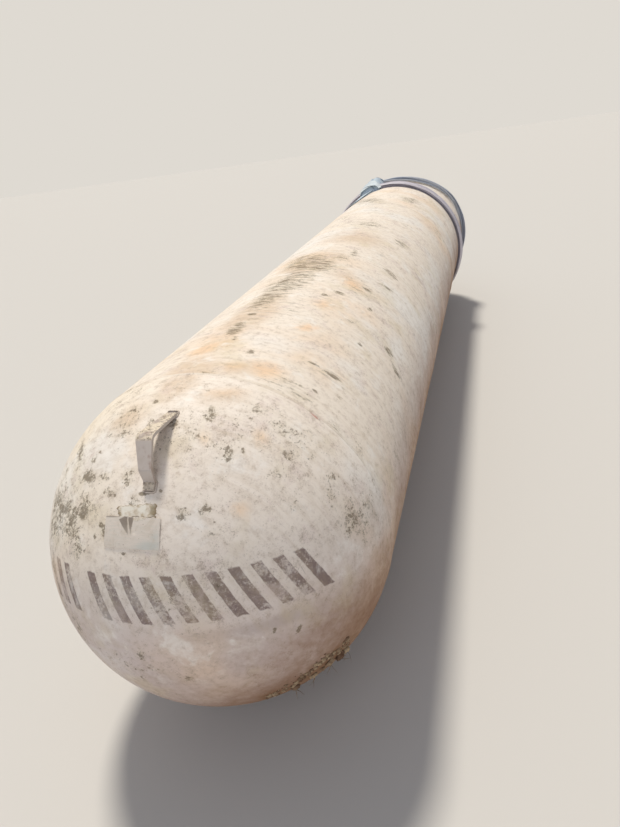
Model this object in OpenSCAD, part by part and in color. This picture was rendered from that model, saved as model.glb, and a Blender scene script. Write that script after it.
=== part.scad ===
// Horizontal pressure tank: a rolled and welded shell with two domed heads, carried on two welded
// saddles, with a webbing sling tied round its far end.
// The tank's axis runs along Y and its near head points to -Y. +Z is up and the floor is z = 0.

/* [Shell and heads] */
// Outside radius of the shell and of both heads
shell_r = 520; // [480:5:580]
// Length of the straight shell between the two head seams
shell_l = 4300; // [3900:50:5200]
// Plate thickness of the shell
shell_t = 8; // [6:0.5:12]
// Plate thickness of the two domed heads
head_t = 6; // [5:0.5:8]
// Length of the near rolled course
near_course_l = 1475; // [1250:25:1600]
// Length of the far rolled course
far_course_l = 1350; // [1250:25:1600]

/* [Weld seams] */
// Gap between two plates at the root of a seam
weld_root = 3; // [2:0.5:5]
// Square land left at the root of each bevel
weld_land = 1.5; // [1:0.25:2]
// Width of a seam at the plate's outer face
weld_face = 13; // [10:0.5:18]
// Height of the weld's cap above the plate
weld_cap = 2.5; // [1.5:0.25:4]
// Angle of the outer courses' lengthwise seam from the top, towards the left
outer_seam_az = 58; // [50:1:70]
// Angle of the middle course's lengthwise seam from the top, towards the right
middle_seam_az = 122; // [112:1:130]

/* [Saddles] */
// Distance from each head seam to the middle of its saddle
saddle_inset = 700; // [680:10:800]
// Gap between the floor and the lowest line of the shell
floor_gap = 100; // [85:5:160]
// Thickness of the wear plate welded under the shell
wear_t = 8; // [6:0.5:12]
// Width of the wear plate along the tank
wear_w = 220; // [200:5:250]
// Angle that the wear plate covers each side of the lowest line
wear_half = 62; // [58:1:66]
// Radius of the wear plate's corners
wear_corner = 30; // [15:1:45]
// Angle that the web covers each side of the lowest line
web_half = 55; // [48:1:57]
// Thickness of the web
web_t = 10; // [8:1:16]
// Thickness of the stiffening ribs
rib_t = 8; // [6:1:12]
// Distance from the middle to an outer rib
outer_rib_x = 235; // [210:5:250]
// Distance from the middle to an inner rib
inner_rib_x = 90; // [60:5:120]
// Width of a rib at its top, along the tank
rib_top_w = 110; // [80:5:140]
// Length of a base plate across the tank
base_l = 680; // [660:10:720]
// Width of a base plate along the tank
base_w = 170; // [160:5:190]
// Thickness of a base plate
base_t = 12; // [10:1:20]
// Distance across the tank between anchor holes
anchor_x = 580; // [560:5:600]
// Distance along the tank between anchor holes
anchor_y = 90; // [80:5:100]
// Diameter of the anchor holes and width of the slots
anchor_d = 22; // [18:1:26]
// Length of the slots in the far base plate, end to end
slot_l = 40; // [32:1:46]

/* [Lifting lugs] */
// Angle of a lug's crown from the tip of its head
lug_polar = 58; // [52:1:62]
// Offset of a lug from the top line, towards the right
lug_x = 18; // [0:1:30]
// Thickness of the bent bar
lug_t = 8; // [6:0.5:12]
// Width of the bent bar at its crown
lug_w = 46; // [36:1:60]
// Width of the bent bar at its two feet
lug_foot_w = 28; // [20:1:34]
// Height above the head at which the two legs' middle lines meet
lug_peak = 62; // [54:1:74]
// Radius of the crown's bend, to the bar's middle
lug_bend = 24; // [16:1:30]
// Distance from the crown to the foot towards the shell
lug_back = 104; // [90:1:120]
// Distance from the crown to the knee of the leg towards the tip
lug_knee = 72; // [60:1:84]
// Height of the knee above the head's tangent at the crown
lug_knee_h = 25; // [18:1:32]
// Radius of the bends at the knee and the foot, to the bar's middle
lug_fold = 9; // [7:0.5:12]
// Distance from the knee to the foot towards the tip
lug_riser = 14; // [8:1:20]
// Length of the foot that lies on the head
lug_toe = 24; // [16:1:36]

/* [Data plate] */
// Angle of the data plate's middle from the tip of the near head
plate_polar = 35; // [30:1:40]
// Offset of the data plate from the top line, towards the right
plate_x = -10; // [-20:1:20]
// Width of the data plate
plate_w = 152; // [120:2:180]
// Height of the data plate
plate_h = 74; // [60:2:90]
// Thickness of the data plate
plate_t = 1.6; // [1:0.1:3]
// Radius of the data plate's corners
plate_corner = 5; // [2:0.5:12]

/* [Gauge opening] */
// Diameter of the flange and of its cover
flange_d = 150; // [144:2:180]
// Diameter of the flange's bore
flange_bore = 76; // [60:2:80]
// How far the flange stands out of the head
flange_reach = 22; // [18:1:30]
// Thickness of the cover
cover_t = 16; // [12:1:22]
// Thickness of the gasket
gasket_t = 2; // [1.5:0.5:4]
// Pitch circle of the cover's bolts
cover_pcd = 114; // [110:1:118]
// Diameter of the cover's bolt holes
cover_hole_d = 13; // [11:0.5:14]
// Diameter of the sinks for the bolt heads
cover_sink_d = 20; // [18:0.5:21]
// Depth of the sinks for the bolt heads
cover_sink = 8; // [6:0.5:9]

/* [Threaded couplings] */
// Angle of the relief coupling from the tip of the far head
relief_polar = 50; // [45:1:55]
// Angle of the relief coupling round the tank's axis, from the top towards the left
relief_turn = 35; // [25:1:45]
// Distance of the outlet from the near head seam
outlet_y = 2200; // [2100:10:2300]
// Distance of the drain from the far head seam
drain_inset = 960; // [940:10:1100]
// Outside diameter of the relief coupling
relief_d = 60; // [54:1:68]
// Outside diameter of the outlet coupling
outlet_d = 76; // [70:1:84]
// Outside diameter of the drain coupling
drain_d = 44; // [40:1:50]
// Wall of every coupling
coupling_wall = 10; // [8:0.5:12]
// How far a coupling stands out of its plate
coupling_reach = 36; // [30:1:40]
// How far a coupling stands into the tank
coupling_depth = 6; // [4:1:10]
// Length of a plug's square head
plug_head_l = 18; // [14:1:22]
// Side of a plug's square head, as a share of its shank's diameter
plug_square = 0.66; // [0.5:0.02:0.68]
// How far a plug's shank goes into its coupling
plug_depth = 26; // [20:1:30]

/* [Earthing tab] */
// Side of the square tab
tab_side = 46; // [40:1:56]
// Thickness of the tab
tab_t = 8; // [6:1:10]
// Diameter of the hole in the tab
tab_hole_d = 11; // [9:0.5:13]
// Height of the tab's hole above the floor
tab_z = 75; // [60:1:100]

/* [Sling] */
// Width of the inner loop, wide webbing gathered into a flat bunch
inner_w = 120; // [90:5:140]
// Thickness of the inner loop
inner_t = 36; // [24:1:42]
// Clearance along the tank between the inner loop and the wear plate
inner_clear = 25; // [10:1:40]
// Width of the outer loop, bunched
outer_w = 76; // [60:2:90]
// Thickness of the outer loop
outer_t = 40; // [28:1:46]
// Distance of the outer loop beyond the far head seam, along the head
outer_past = 95; // [70:5:120]
// Angle over which the outer loop climbs from the knot to the head
outer_sweep = 80; // [70:5:90]
// Angle of the knot's middle from the top, towards the left
knot_az = 18; // [15:1:21]
// Half of the angle that the knot covers
knot_half = 10; // [9:1:12]
// Length of the knot along the tank
knot_l = 340; // [300:5:380]
// Height of the knot above the shell
knot_h = 88; // [70:1:100]
// How far the knot's top leans to the right, as a share of half its width
knot_lean = 0.35; // [0:0.05:0.45]
// Number of folds along the knot
folds = 4; // [3:1:5]
// Depth of a fold as a share of the knot's height
fold_depth = 0.2; // [0.1:0.02:0.3]
// How far the folds slant across the knot, in degrees of their wave
fold_skew = 110; // [60:10:150]
// Length of the free tail along the tank
tail_l = 330; // [280:10:420]
// Width of the tail
tail_w = 80; // [60:2:90]
// Thickness of the tail
tail_t = 14; // [10:1:18]
// Angle that the tail drifts down the left side over its length
tail_drift = 11; // [8:1:14]

/* [Hidden] */
// Gap left between two curved faces that seat on each other
seat = 0.3;
// Gap between a plug's shank and its coupling
plug_gap = 0.1;
// Length of the shank left standing out of its coupling
plug_collar = 2;
// Far enough for a cut to leave the plate that it starts in
past = 40;
$fn = 96;

// The tank's axis, the two head seams and the two course seams
axis_z = floor_gap + shell_r;
gauge_reach = flange_reach + gasket_t + cover_t;
near_y = shell_r - (2 * shell_r + shell_l + gauge_reach) / 2;
far_y = near_y + shell_l;
near_course_y = near_y + near_course_l;
far_course_y = far_y - far_course_l;
near_saddle_y = near_y + saddle_inset;
far_saddle_y = far_y - saddle_inset;
inner_y = far_saddle_y + wear_w / 2 + inner_clear + inner_w / 2;
web_r = shell_r + wear_t + 2 * seat;
knot_y = inner_y - inner_w / 2 - 20;

// Outline of a seam, as distance from its middle line and depth under the plate's outer face.
// The lands and bevels come from the thinner plate, and the cap is a low arc.
function bead(t, t_thin, c = 0) = let (d = t_thin - weld_land, w = weld_face / 2 + c) concat(
    [[-weld_root / 2, -t], [-weld_root / 2, -d], [-w, 0]],
    [for (a = [150:-30:30]) [w * cos(a), (weld_cap + c) * sin(a)]],
    [[w, 0], [weld_root / 2, -d], [weld_root / 2, -t]]);

// Outline of the part that a lengthwise seam takes out of its plate
function groove(t) = let (d = t - weld_land, k = (weld_face - weld_root) / 2 / d) [
    [-weld_root / 2, -t - past], [-weld_root / 2, -d], [-weld_face / 2 - past * k, past],
    [weld_face / 2 + past * k, past], [weld_root / 2, -d], [weld_root / 2, -t - past]];

// Turns a profile of (radius, y) about the tank's axis
module turned() {
    translate([0, 0, axis_z]) rotate([-90, 0, 0]) rotate_extrude($fn = 192) children();
}

// Places children on the shell at an angle az from the top, with +Z pointing outwards from r = 0
module on_shell(y, az) {
    translate([0, y, axis_z]) rotate([0, az, 0]) children();
}

// Places children on a head at an angle from its tip, with +Z pointing outwards from the surface
module on_near_head(polar) {
    translate([0, near_y, axis_z]) rotate([90 - polar, 0, 0]) translate([0, 0, shell_r]) children();
}

module on_far_head(polar, turn = 0) {
    translate([0, far_y, axis_z]) rotate([0, -turn, 0]) rotate([polar - 90, 0, 0])
        translate([0, 0, shell_r]) children();
}

// A bar of the given outline of (across, outwards), laid along the shell from y0 to y1
module along_shell(y0, y1, az, outline) {
    on_shell(y1, az) translate([0, 0, shell_r]) rotate([90, 0, 0]) linear_extrude(y1 - y0)
        polygon(outline);
}

// Shell and heads

module head(tip_up) {
    depth = min(head_t, shell_t) - weld_land;
    rise = (weld_face - weld_root) / 2 / depth;
    difference() {
        sphere(r = shell_r, $fn = 192);
        sphere(r = shell_r - head_t, $fn = 192);
        translate([0, 0, -weld_root / 2]) cylinder(r = 2 * shell_r, h = 2 * shell_r);
        rotate_extrude($fn = 192) polygon([
            [shell_r - depth, -weld_root / 2],
            [shell_r + past, -weld_root / 2 - rise * (depth + past)],
            [shell_r + past, past], [shell_r - depth, past]]);
    }
}

module near_head() {
    color("antiquewhite") translate([0, near_y, axis_z]) rotate([-90, 0, 0]) head();
}

module far_head() {
    color("antiquewhite") difference() {
        translate([0, far_y, axis_z]) rotate([90, 0, 0]) head();
        on_far_head(0) translate([0, 0, -past]) cylinder(d = flange_d + 2 * seat, h = 2 * past);
        relief_place() translate([0, 0, -past]) cylinder(d = relief_d + 2 * seat, h = 2 * past);
    }
}

// One rolled course from y0 to y1, with bevelled ends and a bevelled lengthwise seam
module course(y0, y1, thin0, thin1, seam_az) {
    r = weld_root / 2;
    f = weld_face / 2;
    difference() {
        turned() polygon([
            [shell_r - shell_t, y0 + r], [shell_r - thin0 + weld_land, y0 + r], [shell_r, y0 + f],
            [shell_r, y1 - f], [shell_r - thin1 + weld_land, y1 - r], [shell_r - shell_t, y1 - r]]);
        along_shell(y0 + weld_face, y1 - weld_face, seam_az, groove(shell_t));
    }
}

module shell_course_near() {
    color("antiquewhite")
        course(near_y, near_course_y, min(head_t, shell_t), shell_t, -outer_seam_az);
}

module shell_course_middle() {
    color("antiquewhite") difference() {
        course(near_course_y, far_course_y, shell_t, shell_t, middle_seam_az);
        on_shell(near_y + outlet_y, 180) translate([0, 0, shell_r - past])
            cylinder(d = outlet_d + 2 * seat, h = 2 * past);
    }
}

module shell_course_far() {
    color("antiquewhite") difference() {
        course(far_course_y, far_y, shell_t, min(head_t, shell_t), -outer_seam_az);
        on_shell(far_y - drain_inset, 180) translate([0, 0, shell_r - past])
            cylinder(d = drain_d + 2 * seat, h = 2 * past);
    }
}

// Weld seams

module girth_weld(y, t, thin) {
    color("linen") turned() translate([shell_r, y])
        polygon([for (p = bead(t, thin)) [p[1], p[0]]]);
}

module near_head_weld() { girth_weld(near_y, min(head_t, shell_t), min(head_t, shell_t)); }
module far_head_weld() { girth_weld(far_y, min(head_t, shell_t), min(head_t, shell_t)); }
module near_course_weld() { girth_weld(near_course_y, shell_t, shell_t); }
module far_course_weld() { girth_weld(far_course_y, shell_t, shell_t); }

module seam_weld(y0, y1, az) {
    color("linen") along_shell(y0 + weld_face, y1 - weld_face, az, bead(shell_t, shell_t));
}

module near_seam_weld() { seam_weld(near_y, near_course_y, -outer_seam_az); }
module middle_seam_weld() { seam_weld(near_course_y, far_course_y, middle_seam_az); }
module far_seam_weld() { seam_weld(far_course_y, far_y, -outer_seam_az); }

// Saddles, each built round its own middle at y = 0

// A flat outline with rounded corners, centred on the origin
module rounded(l, w, r) {
    square([l - 2 * r, w], center = true);
    square([l, w - 2 * r], center = true);
    for (x = [-1, 1], y = [-1, 1]) translate([x * (l / 2 - r), y * (w / 2 - r)]) circle(r = r);
}

// The wear plate is a ring cut down to its arc. Its four corners are rounded from the side.
module wear_plate() {
    r = shell_r + seat;
    reach = 2 * shell_r;
    horn = [r * sin(wear_half), -r * cos(wear_half)];
    color("tan") translate([0, 0, axis_z]) difference() {
        rotate([90, 0, 0]) cylinder(r = r + wear_t, h = wear_w, center = true, $fn = 192);
        rotate([90, 0, 0]) cylinder(r = r, h = 2 * wear_w, center = true, $fn = 192);
        rotate([90, 0, 0]) linear_extrude(2 * wear_w, center = true) polygon([[0, 0],
            [reach * sin(wear_half), -reach * cos(wear_half)], [reach, reach], [-reach, reach],
            [-reach * sin(wear_half), -reach * cos(wear_half)]]);
        for (x = [-1, 1], y = [-1, 1])
            translate([x * horn[0], y * wear_w / 2, horn[1]]) rotate([0, x * (180 - wear_half), 0])
                translate([x * wear_corner, -y * wear_corner, 0]) difference() {
                    translate([-x * wear_corner, y * wear_corner, 0])
                        cube([2 * wear_corner, 2 * wear_corner, 2 * past], center = true);
                    cylinder(r = wear_corner, h = 3 * past, center = true);
                }
    }
}

module web() {
    horn = [web_r * sin(web_half), axis_z - web_r * cos(web_half)];
    color("peru") rotate([90, 0, 0]) linear_extrude(web_t, center = true) difference() {
        polygon([[-base_l / 2 + web_t, base_t], [base_l / 2 - web_t, base_t],
                 [horn[0] + web_t, horn[1] - web_t], [horn[0], horn[1]],
                 [-horn[0], horn[1]], [-horn[0] - web_t, horn[1] - web_t]]);
        translate([0, axis_z]) circle(r = web_r, $fn = 192);
    }
}

// Eight tapered ribs, four on each face of the web, cut to the wear plate
module ribs() {
    color("peru") difference() {
        for (x = [-outer_rib_x, -inner_rib_x, inner_rib_x, outer_rib_x], side = [0, 180])
            translate([x, 0, 0]) rotate([0, 0, side]) rotate([90, 0, -90])
                linear_extrude(rib_t, center = true) polygon([
                    [web_t / 2, base_t], [base_w / 2 - rib_t, base_t],
                    [rib_top_w / 2, axis_z], [web_t / 2, axis_z]]);
        translate([0, 0, axis_z]) rotate([90, 0, 0])
            cylinder(r = web_r, h = 2 * base_w, center = true, $fn = 192);
    }
}

module anchor(slot) {
    for (y = [-slot / 2, slot / 2])
        translate([0, y, -base_t]) cylinder(d = anchor_d, h = 3 * base_t);
    if (slot > 0) translate([-anchor_d / 2, -slot / 2, -base_t]) cube([anchor_d, slot, 3 * base_t]);
}

module base(slot) {
    color("peru") difference() {
        linear_extrude(base_t) rounded(base_l, base_w, web_t);
        for (x = [-1, 1], y = [-1, 1])
            translate([x * anchor_x / 2, y * anchor_y / 2, 0]) anchor(slot);
    }
}

module near_saddle_wear_plate() { translate([0, near_saddle_y, 0]) wear_plate(); }
module near_saddle_web() { translate([0, near_saddle_y, 0]) web(); }
module near_saddle_ribs() { translate([0, near_saddle_y, 0]) ribs(); }
module near_saddle_base() { translate([0, near_saddle_y, 0]) base(0); }
module far_saddle_wear_plate() { translate([0, far_saddle_y, 0]) wear_plate(); }
module far_saddle_web() { translate([0, far_saddle_y, 0]) web(); }
module far_saddle_ribs() { translate([0, far_saddle_y, 0]) ribs(); }
module far_saddle_base() { translate([0, far_saddle_y, 0]) base(slot_l - anchor_d); }

// A square tab standing on the near saddle's web, on its near face at the left
module earth_tab() {
    color("silver") translate([-(outer_rib_x + anchor_x / 2) / 2, near_saddle_y - web_t / 2, tab_z])
        difference() {
            translate([-tab_t / 2, -tab_side, -tab_side / 2]) cube([tab_t, tab_side, tab_side]);
            translate([0, -tab_side / 2, 0]) rotate([0, 90, 0])
                cylinder(d = tab_hole_d, h = 3 * tab_t, center = true);
        }
}

// Lifting lugs: one flat bar bent into an eye. From its foot towards the shell it climbs to the
// crown, comes down to a knee, and turns in to a foot with a toe that lies on the head. The bar's
// middle line lies in (along the head towards the shell, outwards).

// Arc of radius r that rounds the corner b between a and c, as points
function bend(a, b, c, r) =
    let (u = (a - b) / norm(a - b), v = (c - b) / norm(c - b), half = acos(u * v) / 2,
         mid = b + (u + v) / norm(u + v) * r / sin(half),
         p = b + u * r / tan(half) - mid, q = b + v * r / tan(half) - mid,
         start = atan2(p[1], p[0]), turn = (atan2(q[1], q[0]) - start + 540) % 360 - 180,
         steps = ceil(abs(turn) / 8))
    [for (i = [0:steps]) mid + r * [cos(start + turn * i / steps), sin(start + turn * i / steps)]];

// One face of a bar, d beside its middle line
function face_of(line, d) = [for (i = [0:len(line) - 1])
    let (a = line[max(i - 1, 0)], b = line[min(i + 1, len(line) - 1)])
    line[i] + d * [a[1] - b[1], b[0] - a[0]] / norm(b - a)];

// Height of the head's surface at y, from its tangent at the crown
function head_drop(y) = sqrt(shell_r * shell_r - y * y) - shell_r;

module lug() {
    heel = -lug_knee - lug_riser;
    back = [lug_back, head_drop(lug_back)];
    crown = [0, lug_peak];
    knee = [-lug_knee, lug_knee_h];
    foot = [heel, head_drop(heel) + lug_t / 2];
    toe = [heel - lug_toe, head_drop(heel - lug_toe) + lug_t / 2];
    line = concat([back], bend(back, crown, knee, lug_bend), bend(crown, knee, foot, lug_fold),
                  bend(knee, foot, toe, lug_fold), [toe]);
    faces = [face_of(line, lug_t / 2), face_of(line, -lug_t / 2)];
    difference() {
        intersection() {
            rotate([90, 0, 90]) linear_extrude(lug_w, center = true)
                polygon([each faces[0], for (i = [len(line) - 1:-1:0]) faces[1][i]]);
            // Seen from outside, the right edge is straight and the left one narrows to both feet
            linear_extrude(4 * lug_peak, center = true) polygon([
                [lug_w / 2, toe[0]], [lug_w / 2, back[0] + lug_t],
                [lug_w / 2 - lug_foot_w, back[0] + lug_t], [-lug_w / 2, 0],
                [lug_w / 2 - lug_foot_w, toe[0]]]);
        }
        translate([0, 0, -shell_r]) sphere(r = shell_r + seat, $fn = 192);
    }
}

module near_lug() { color("rosybrown") translate([lug_x, 0, 0]) on_near_head(lug_polar) lug(); }

module far_lug() {
    color("rosybrown") translate([lug_x, 0, 0]) on_far_head(lug_polar) mirror([0, 1, 0]) lug();
}

// The data plate is dished to the head that it is fixed to
module data_plate() {
    color("lightgray") on_near_head(plate_polar) intersection() {
        translate([0, 0, -shell_r]) difference() {
            sphere(r = shell_r + seat + plate_t, $fn = 192);
            sphere(r = shell_r + seat, $fn = 192);
        }
        translate([plate_x, 0, -past]) linear_extrude(2 * past)
            rounded(plate_w, plate_h, plate_corner);
    }
}

// Gauge opening on the tip of the far head

module cover_holes(z0, h, d = cover_hole_d) {
    for (a = [45:90:315])
        rotate([0, 0, a]) translate([cover_pcd / 2, 0, z0]) cylinder(d = d, h = h);
}

module gauge_flange() {
    color("dimgray") on_far_head(0) difference() {
        translate([0, 0, -head_t - coupling_depth])
            cylinder(d = flange_d, h = head_t + coupling_depth + flange_reach);
        translate([0, 0, -past]) cylinder(d = flange_bore, h = 3 * past);
        cover_holes(gasket_t, past);
    }
}

module gauge_gasket() {
    color("black") on_far_head(0) translate([0, 0, flange_reach]) difference() {
        cylinder(d = cover_pcd - cover_hole_d - gasket_t, h = gasket_t);
        translate([0, 0, -past]) cylinder(d = flange_bore, h = 2 * past);
    }
}

module gauge_cover() {
    color("gray") on_far_head(0) translate([0, 0, flange_reach + gasket_t]) difference() {
        cylinder(d = flange_d, h = cover_t);
        cover_holes(-past, 3 * past);
        cover_holes(cover_t - cover_sink, past, cover_sink_d);
    }
}

// Threaded couplings and their square-headed plugs, with the plate's outer face at z = 0

module coupling(d, t) {
    color("dimgray") difference() {
        translate([0, 0, -t - coupling_depth]) cylinder(d = d, h = t + coupling_depth + coupling_reach);
        translate([0, 0, -past]) cylinder(d = d - 2 * coupling_wall, h = 3 * past);
    }
}

module plug(d) {
    shank = d - 2 * coupling_wall - 2 * plug_gap;
    side = plug_square * shank;
    color("slategray") {
        translate([0, 0, coupling_reach - plug_depth])
            cylinder(d = shank, h = plug_depth + plug_collar);
        translate([-side / 2, -side / 2, coupling_reach]) cube([side, side, plug_head_l]);
    }
}

module relief_place() { on_far_head(relief_polar, relief_turn) children(); }
module relief_coupling() { relief_place() coupling(relief_d, head_t); }
module relief_plug() { relief_place() plug(relief_d); }

module outlet_place() { on_shell(near_y + outlet_y, 180) translate([0, 0, shell_r]) children(); }
module outlet_coupling() { outlet_place() coupling(outlet_d, shell_t); }
module outlet_plug() { outlet_place() plug(outlet_d); }

module drain_place() { on_shell(far_y - drain_inset, 180) translate([0, 0, shell_r]) children(); }
module drain_coupling() { drain_place() coupling(drain_d, shell_t); }
module drain_plug() { drain_place() plug(drain_d); }

// Sling

// The knot's two side faces lie in planes through the tank's axis, and both loops end on them.
knot_right_az = -knot_az + knot_half;
knot_left_az = -knot_az - knot_half;

// Everything on the shell between two angles from the top, az0 to az1
module wedge(az0, az1) {
    reach = 3 * shell_r;
    translate([0, 0, axis_z]) rotate([90, 0, 0]) linear_extrude(4 * shell_l, center = true)
        polygon([[0, 0], [reach * sin(az0), reach * cos(az0)], [reach * sin(az1), reach * cos(az1)]]);
}

// The inner loop is a flat bunch of webbing with rounded edges. It bridges the lengthwise seam.
module sling_inner_loop() {
    e = inner_t / 2;
    color("slateblue") difference() {
        turned() translate([shell_r + seat, inner_y]) union() {
            translate([0, -inner_w / 2 + e]) square([inner_t, inner_w - inner_t]);
            for (y = [-1, 1]) translate([e, y * (inner_w / 2 - e)]) circle(r = e, $fn = 32);
        }
        wedge(knot_left_az, knot_right_az);
        along_shell(inner_y - inner_w, inner_y + inner_w, -outer_seam_az, bead(shell_t, shell_t, 2 * seat));
    }
}

// A point h outside the far end's surface, s along it from the far head seam, at az from the top.
// The shell lies at negative s and the head at positive s.
function far_point(az, s, h) =
    let (a = max(s, 0) / shell_r * 180 / PI, r = (shell_r + h) * cos(a))
    [r * sin(az), far_y + min(s, 0) + (shell_r + h) * sin(a), axis_z + r * cos(az)];

function smooth(u) = let (v = min(max(u, 0), 1)) v * v * (3 - 2 * v);

// Cross-section of bunched webbing, as (across, outwards), w wide and t thick. Its two faces are
// cut into n parts where they have to follow the curve that they lie on.
function strap(w, t, n = 1) = let (c = t / 3, h = w / 2 - c) concat(
    [for (i = [0:n]) [h * (2 * i / n - 1), 0]], [[w / 2, c], [w / 2, t - c]],
    [for (i = [n:-1:0]) [h * (2 * i / n - 1), t]], [[-w / 2, t - c], [-w / 2, c]]);

// Closes rings of points, all of the same number, into a solid with flat ends
module lofted(rings) {
    n = len(rings[0]);
    m = len(rings);
    polyhedron(points = [for (ring = rings, p = ring) p], faces = concat(
        [[for (j = [0:n - 1]) j]],
        [for (i = [0:m - 2], j = [0:n - 1]) let (k = (j + 1) % n)
            [i * n + j, (i + 1) * n + j, (i + 1) * n + k]],
        [for (i = [0:m - 2], j = [0:n - 1]) let (k = (j + 1) % n)
            [i * n + j, (i + 1) * n + k, i * n + k]],
        [[for (j = [n - 1:-1:0]) (m - 1) * n + j]]));
}

// The outer loop leaves the knot beside the inner one, climbs over the far seam and runs round
// the head. It rides on the weld caps.
outer_lift = weld_cap + 2 * seat;
outer_knot_s = knot_y + knot_l - far_y - outer_w / 2 - 10;
function outer_s(az) = outer_knot_s
    + (outer_past - outer_knot_s) * smooth((abs(az + knot_az) - knot_half) / outer_sweep);

module sling_outer_loop() {
    steps = 64;
    span = 360 - 2 * knot_half;
    color("slategray") lofted([for (i = [0:steps])
        let (az = knot_right_az + i * span / steps, near = az > 180 - knot_az ? az - 360 : az)
        [for (q = strap(outer_w, outer_t)) far_point(az, outer_s(near) + q[0], outer_lift + q[1])]]);
}

// The knot is a bunch of folded webbing. Its height above the shell, at u from -1 at its left side
// to 1 at its right and v from 0 at its near end to 1, swells to the middle and dips at each fold.
function knot_rise(u, v) = let (side = max(inner_t, outer_t + outer_lift) + 4,
                                w = u - knot_lean * (1 - u * u))
    (side + (knot_h - side) * (1 - w * w) * (1 - pow(2 * v - 1, 4)))
    * (1 - fold_depth * (1 - cos(360 * folds * v + fold_skew * u)) / 2);

module sling_knot() {
    across = 8;
    along = 30;
    function spot(i, v, h) =
        let (az = knot_left_az + 2 * knot_half * i / across, r = shell_r + 2 * seat + h)
        [r * sin(az), knot_y + v * knot_l, axis_z + r * cos(az)];
    color("lightsteelblue") lofted([for (j = [0:along]) let (v = j / along) concat(
        [for (i = [0:across]) spot(i, v, knot_rise(2 * i / across - 1, v))],
        [for (i = [across:-1:0]) spot(i, v, 0)])]);
}

// The tail lies on the shell towards the near end and drifts down the left side
module sling_tail() {
    steps = 10;
    color("lightblue") lofted([for (i = [0:steps])
        let (u = i / steps, az0 = -knot_az - tail_drift * u)
        [for (q = strap(tail_w, tail_t, 2))
            let (az = az0 + q[0] / shell_r * 180 / PI, r = shell_r + 2 * seat + q[1])
            [r * sin(az), knot_y - tail_l * u, axis_z + r * cos(az)]]]);
}

near_head();
far_head();
shell_course_near();
shell_course_middle();
shell_course_far();
near_head_weld();
far_head_weld();
near_course_weld();
far_course_weld();
near_seam_weld();
middle_seam_weld();
far_seam_weld();
near_saddle_wear_plate();
near_saddle_web();
near_saddle_ribs();
near_saddle_base();
far_saddle_wear_plate();
far_saddle_web();
far_saddle_ribs();
far_saddle_base();
earth_tab();
near_lug();
far_lug();
data_plate();
gauge_flange();
gauge_gasket();
gauge_cover();
relief_coupling();
relief_plug();
outlet_coupling();
outlet_plug();
drain_coupling();
drain_plug();
sling_inner_loop();
sling_outer_loop();
sling_knot();
sling_tail();
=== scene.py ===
# Horizontal pressure tank: a rolled and welded shell with domed ends on two steel saddles, with a
# webbing sling tied round its far end. Metres. The tank's axis runs along Y, its near head points
# to -Y, and the floor is z = 0.
import math
import random

import bpy
from mathutils import Matrix, Vector, noise


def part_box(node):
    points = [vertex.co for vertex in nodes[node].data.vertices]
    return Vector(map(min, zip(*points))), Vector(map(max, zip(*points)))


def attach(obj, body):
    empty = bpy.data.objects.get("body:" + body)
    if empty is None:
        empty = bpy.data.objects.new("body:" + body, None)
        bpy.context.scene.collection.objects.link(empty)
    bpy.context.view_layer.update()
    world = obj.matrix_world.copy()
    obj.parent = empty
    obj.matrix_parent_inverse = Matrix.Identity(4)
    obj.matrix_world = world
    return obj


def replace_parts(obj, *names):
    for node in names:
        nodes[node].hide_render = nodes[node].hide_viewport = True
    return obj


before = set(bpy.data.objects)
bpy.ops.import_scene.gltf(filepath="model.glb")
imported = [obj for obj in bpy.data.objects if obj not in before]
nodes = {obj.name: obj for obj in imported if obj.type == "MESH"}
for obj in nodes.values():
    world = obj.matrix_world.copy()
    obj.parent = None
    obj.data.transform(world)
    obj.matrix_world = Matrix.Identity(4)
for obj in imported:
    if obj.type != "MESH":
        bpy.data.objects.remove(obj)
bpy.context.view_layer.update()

scene = bpy.context.scene

# Camera
# The photograph's view. In the photograph the tank has rolled about 11 degrees about its own
# axis. Here it stands upright, so the camera is turned about that axis by the same angle.
PHOTO_W, PHOTO_H = 620, 827
PHOTO_FOCAL = 600
camera_place = Vector((0.8147, -3.5562, 1.7253))
camera_right = Vector((0.9548, 0.2613, -0.1419))
camera_up = Vector((0.0063, 0.4592, 0.8883))
camera_forward = camera_up.cross(camera_right)
camera = bpy.data.objects.new("camera", bpy.data.cameras.new("camera"))
scene.collection.objects.link(camera)
camera.matrix_world = Matrix.Translation(camera_place) @ Matrix(
    (camera_right, camera_up, -camera_forward)).transposed().to_4x4()
camera.data.sensor_width = 36
camera.data.lens = PHOTO_FOCAL * camera.data.sensor_width / PHOTO_H
scene.camera = camera

# Studio
# A pale floor under an even, soft light. The key light is high behind the tank and to its left, so
# the top of the shell is bright and the near dome's lower right is in shade.
def srgb(red, green, blue):
    """A colour given as 0 to 255, as the four linear numbers that a shader takes."""
    return tuple((c / 255 / 12.92 if c <= 10 else ((c / 255 + 0.055) / 1.055) ** 2.4)
                 for c in (red, green, blue)) + (1.0,)


def link(name, data):
    """Puts new data into the scene as an object."""
    piece = bpy.data.objects.new(name, data)
    scene.collection.objects.link(piece)
    return piece


def studio_light(name, place, softness, power, colour):
    """An even light from a large soft source, seen under an angle of softness degrees."""
    lamp = bpy.data.lights.new(name, "SUN")
    lamp.angle = math.radians(softness)
    lamp.energy = power
    lamp.color = colour[:3]
    link(name, lamp).rotation_euler = Vector(place).to_track_quat("Z", "Y").to_euler()


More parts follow.
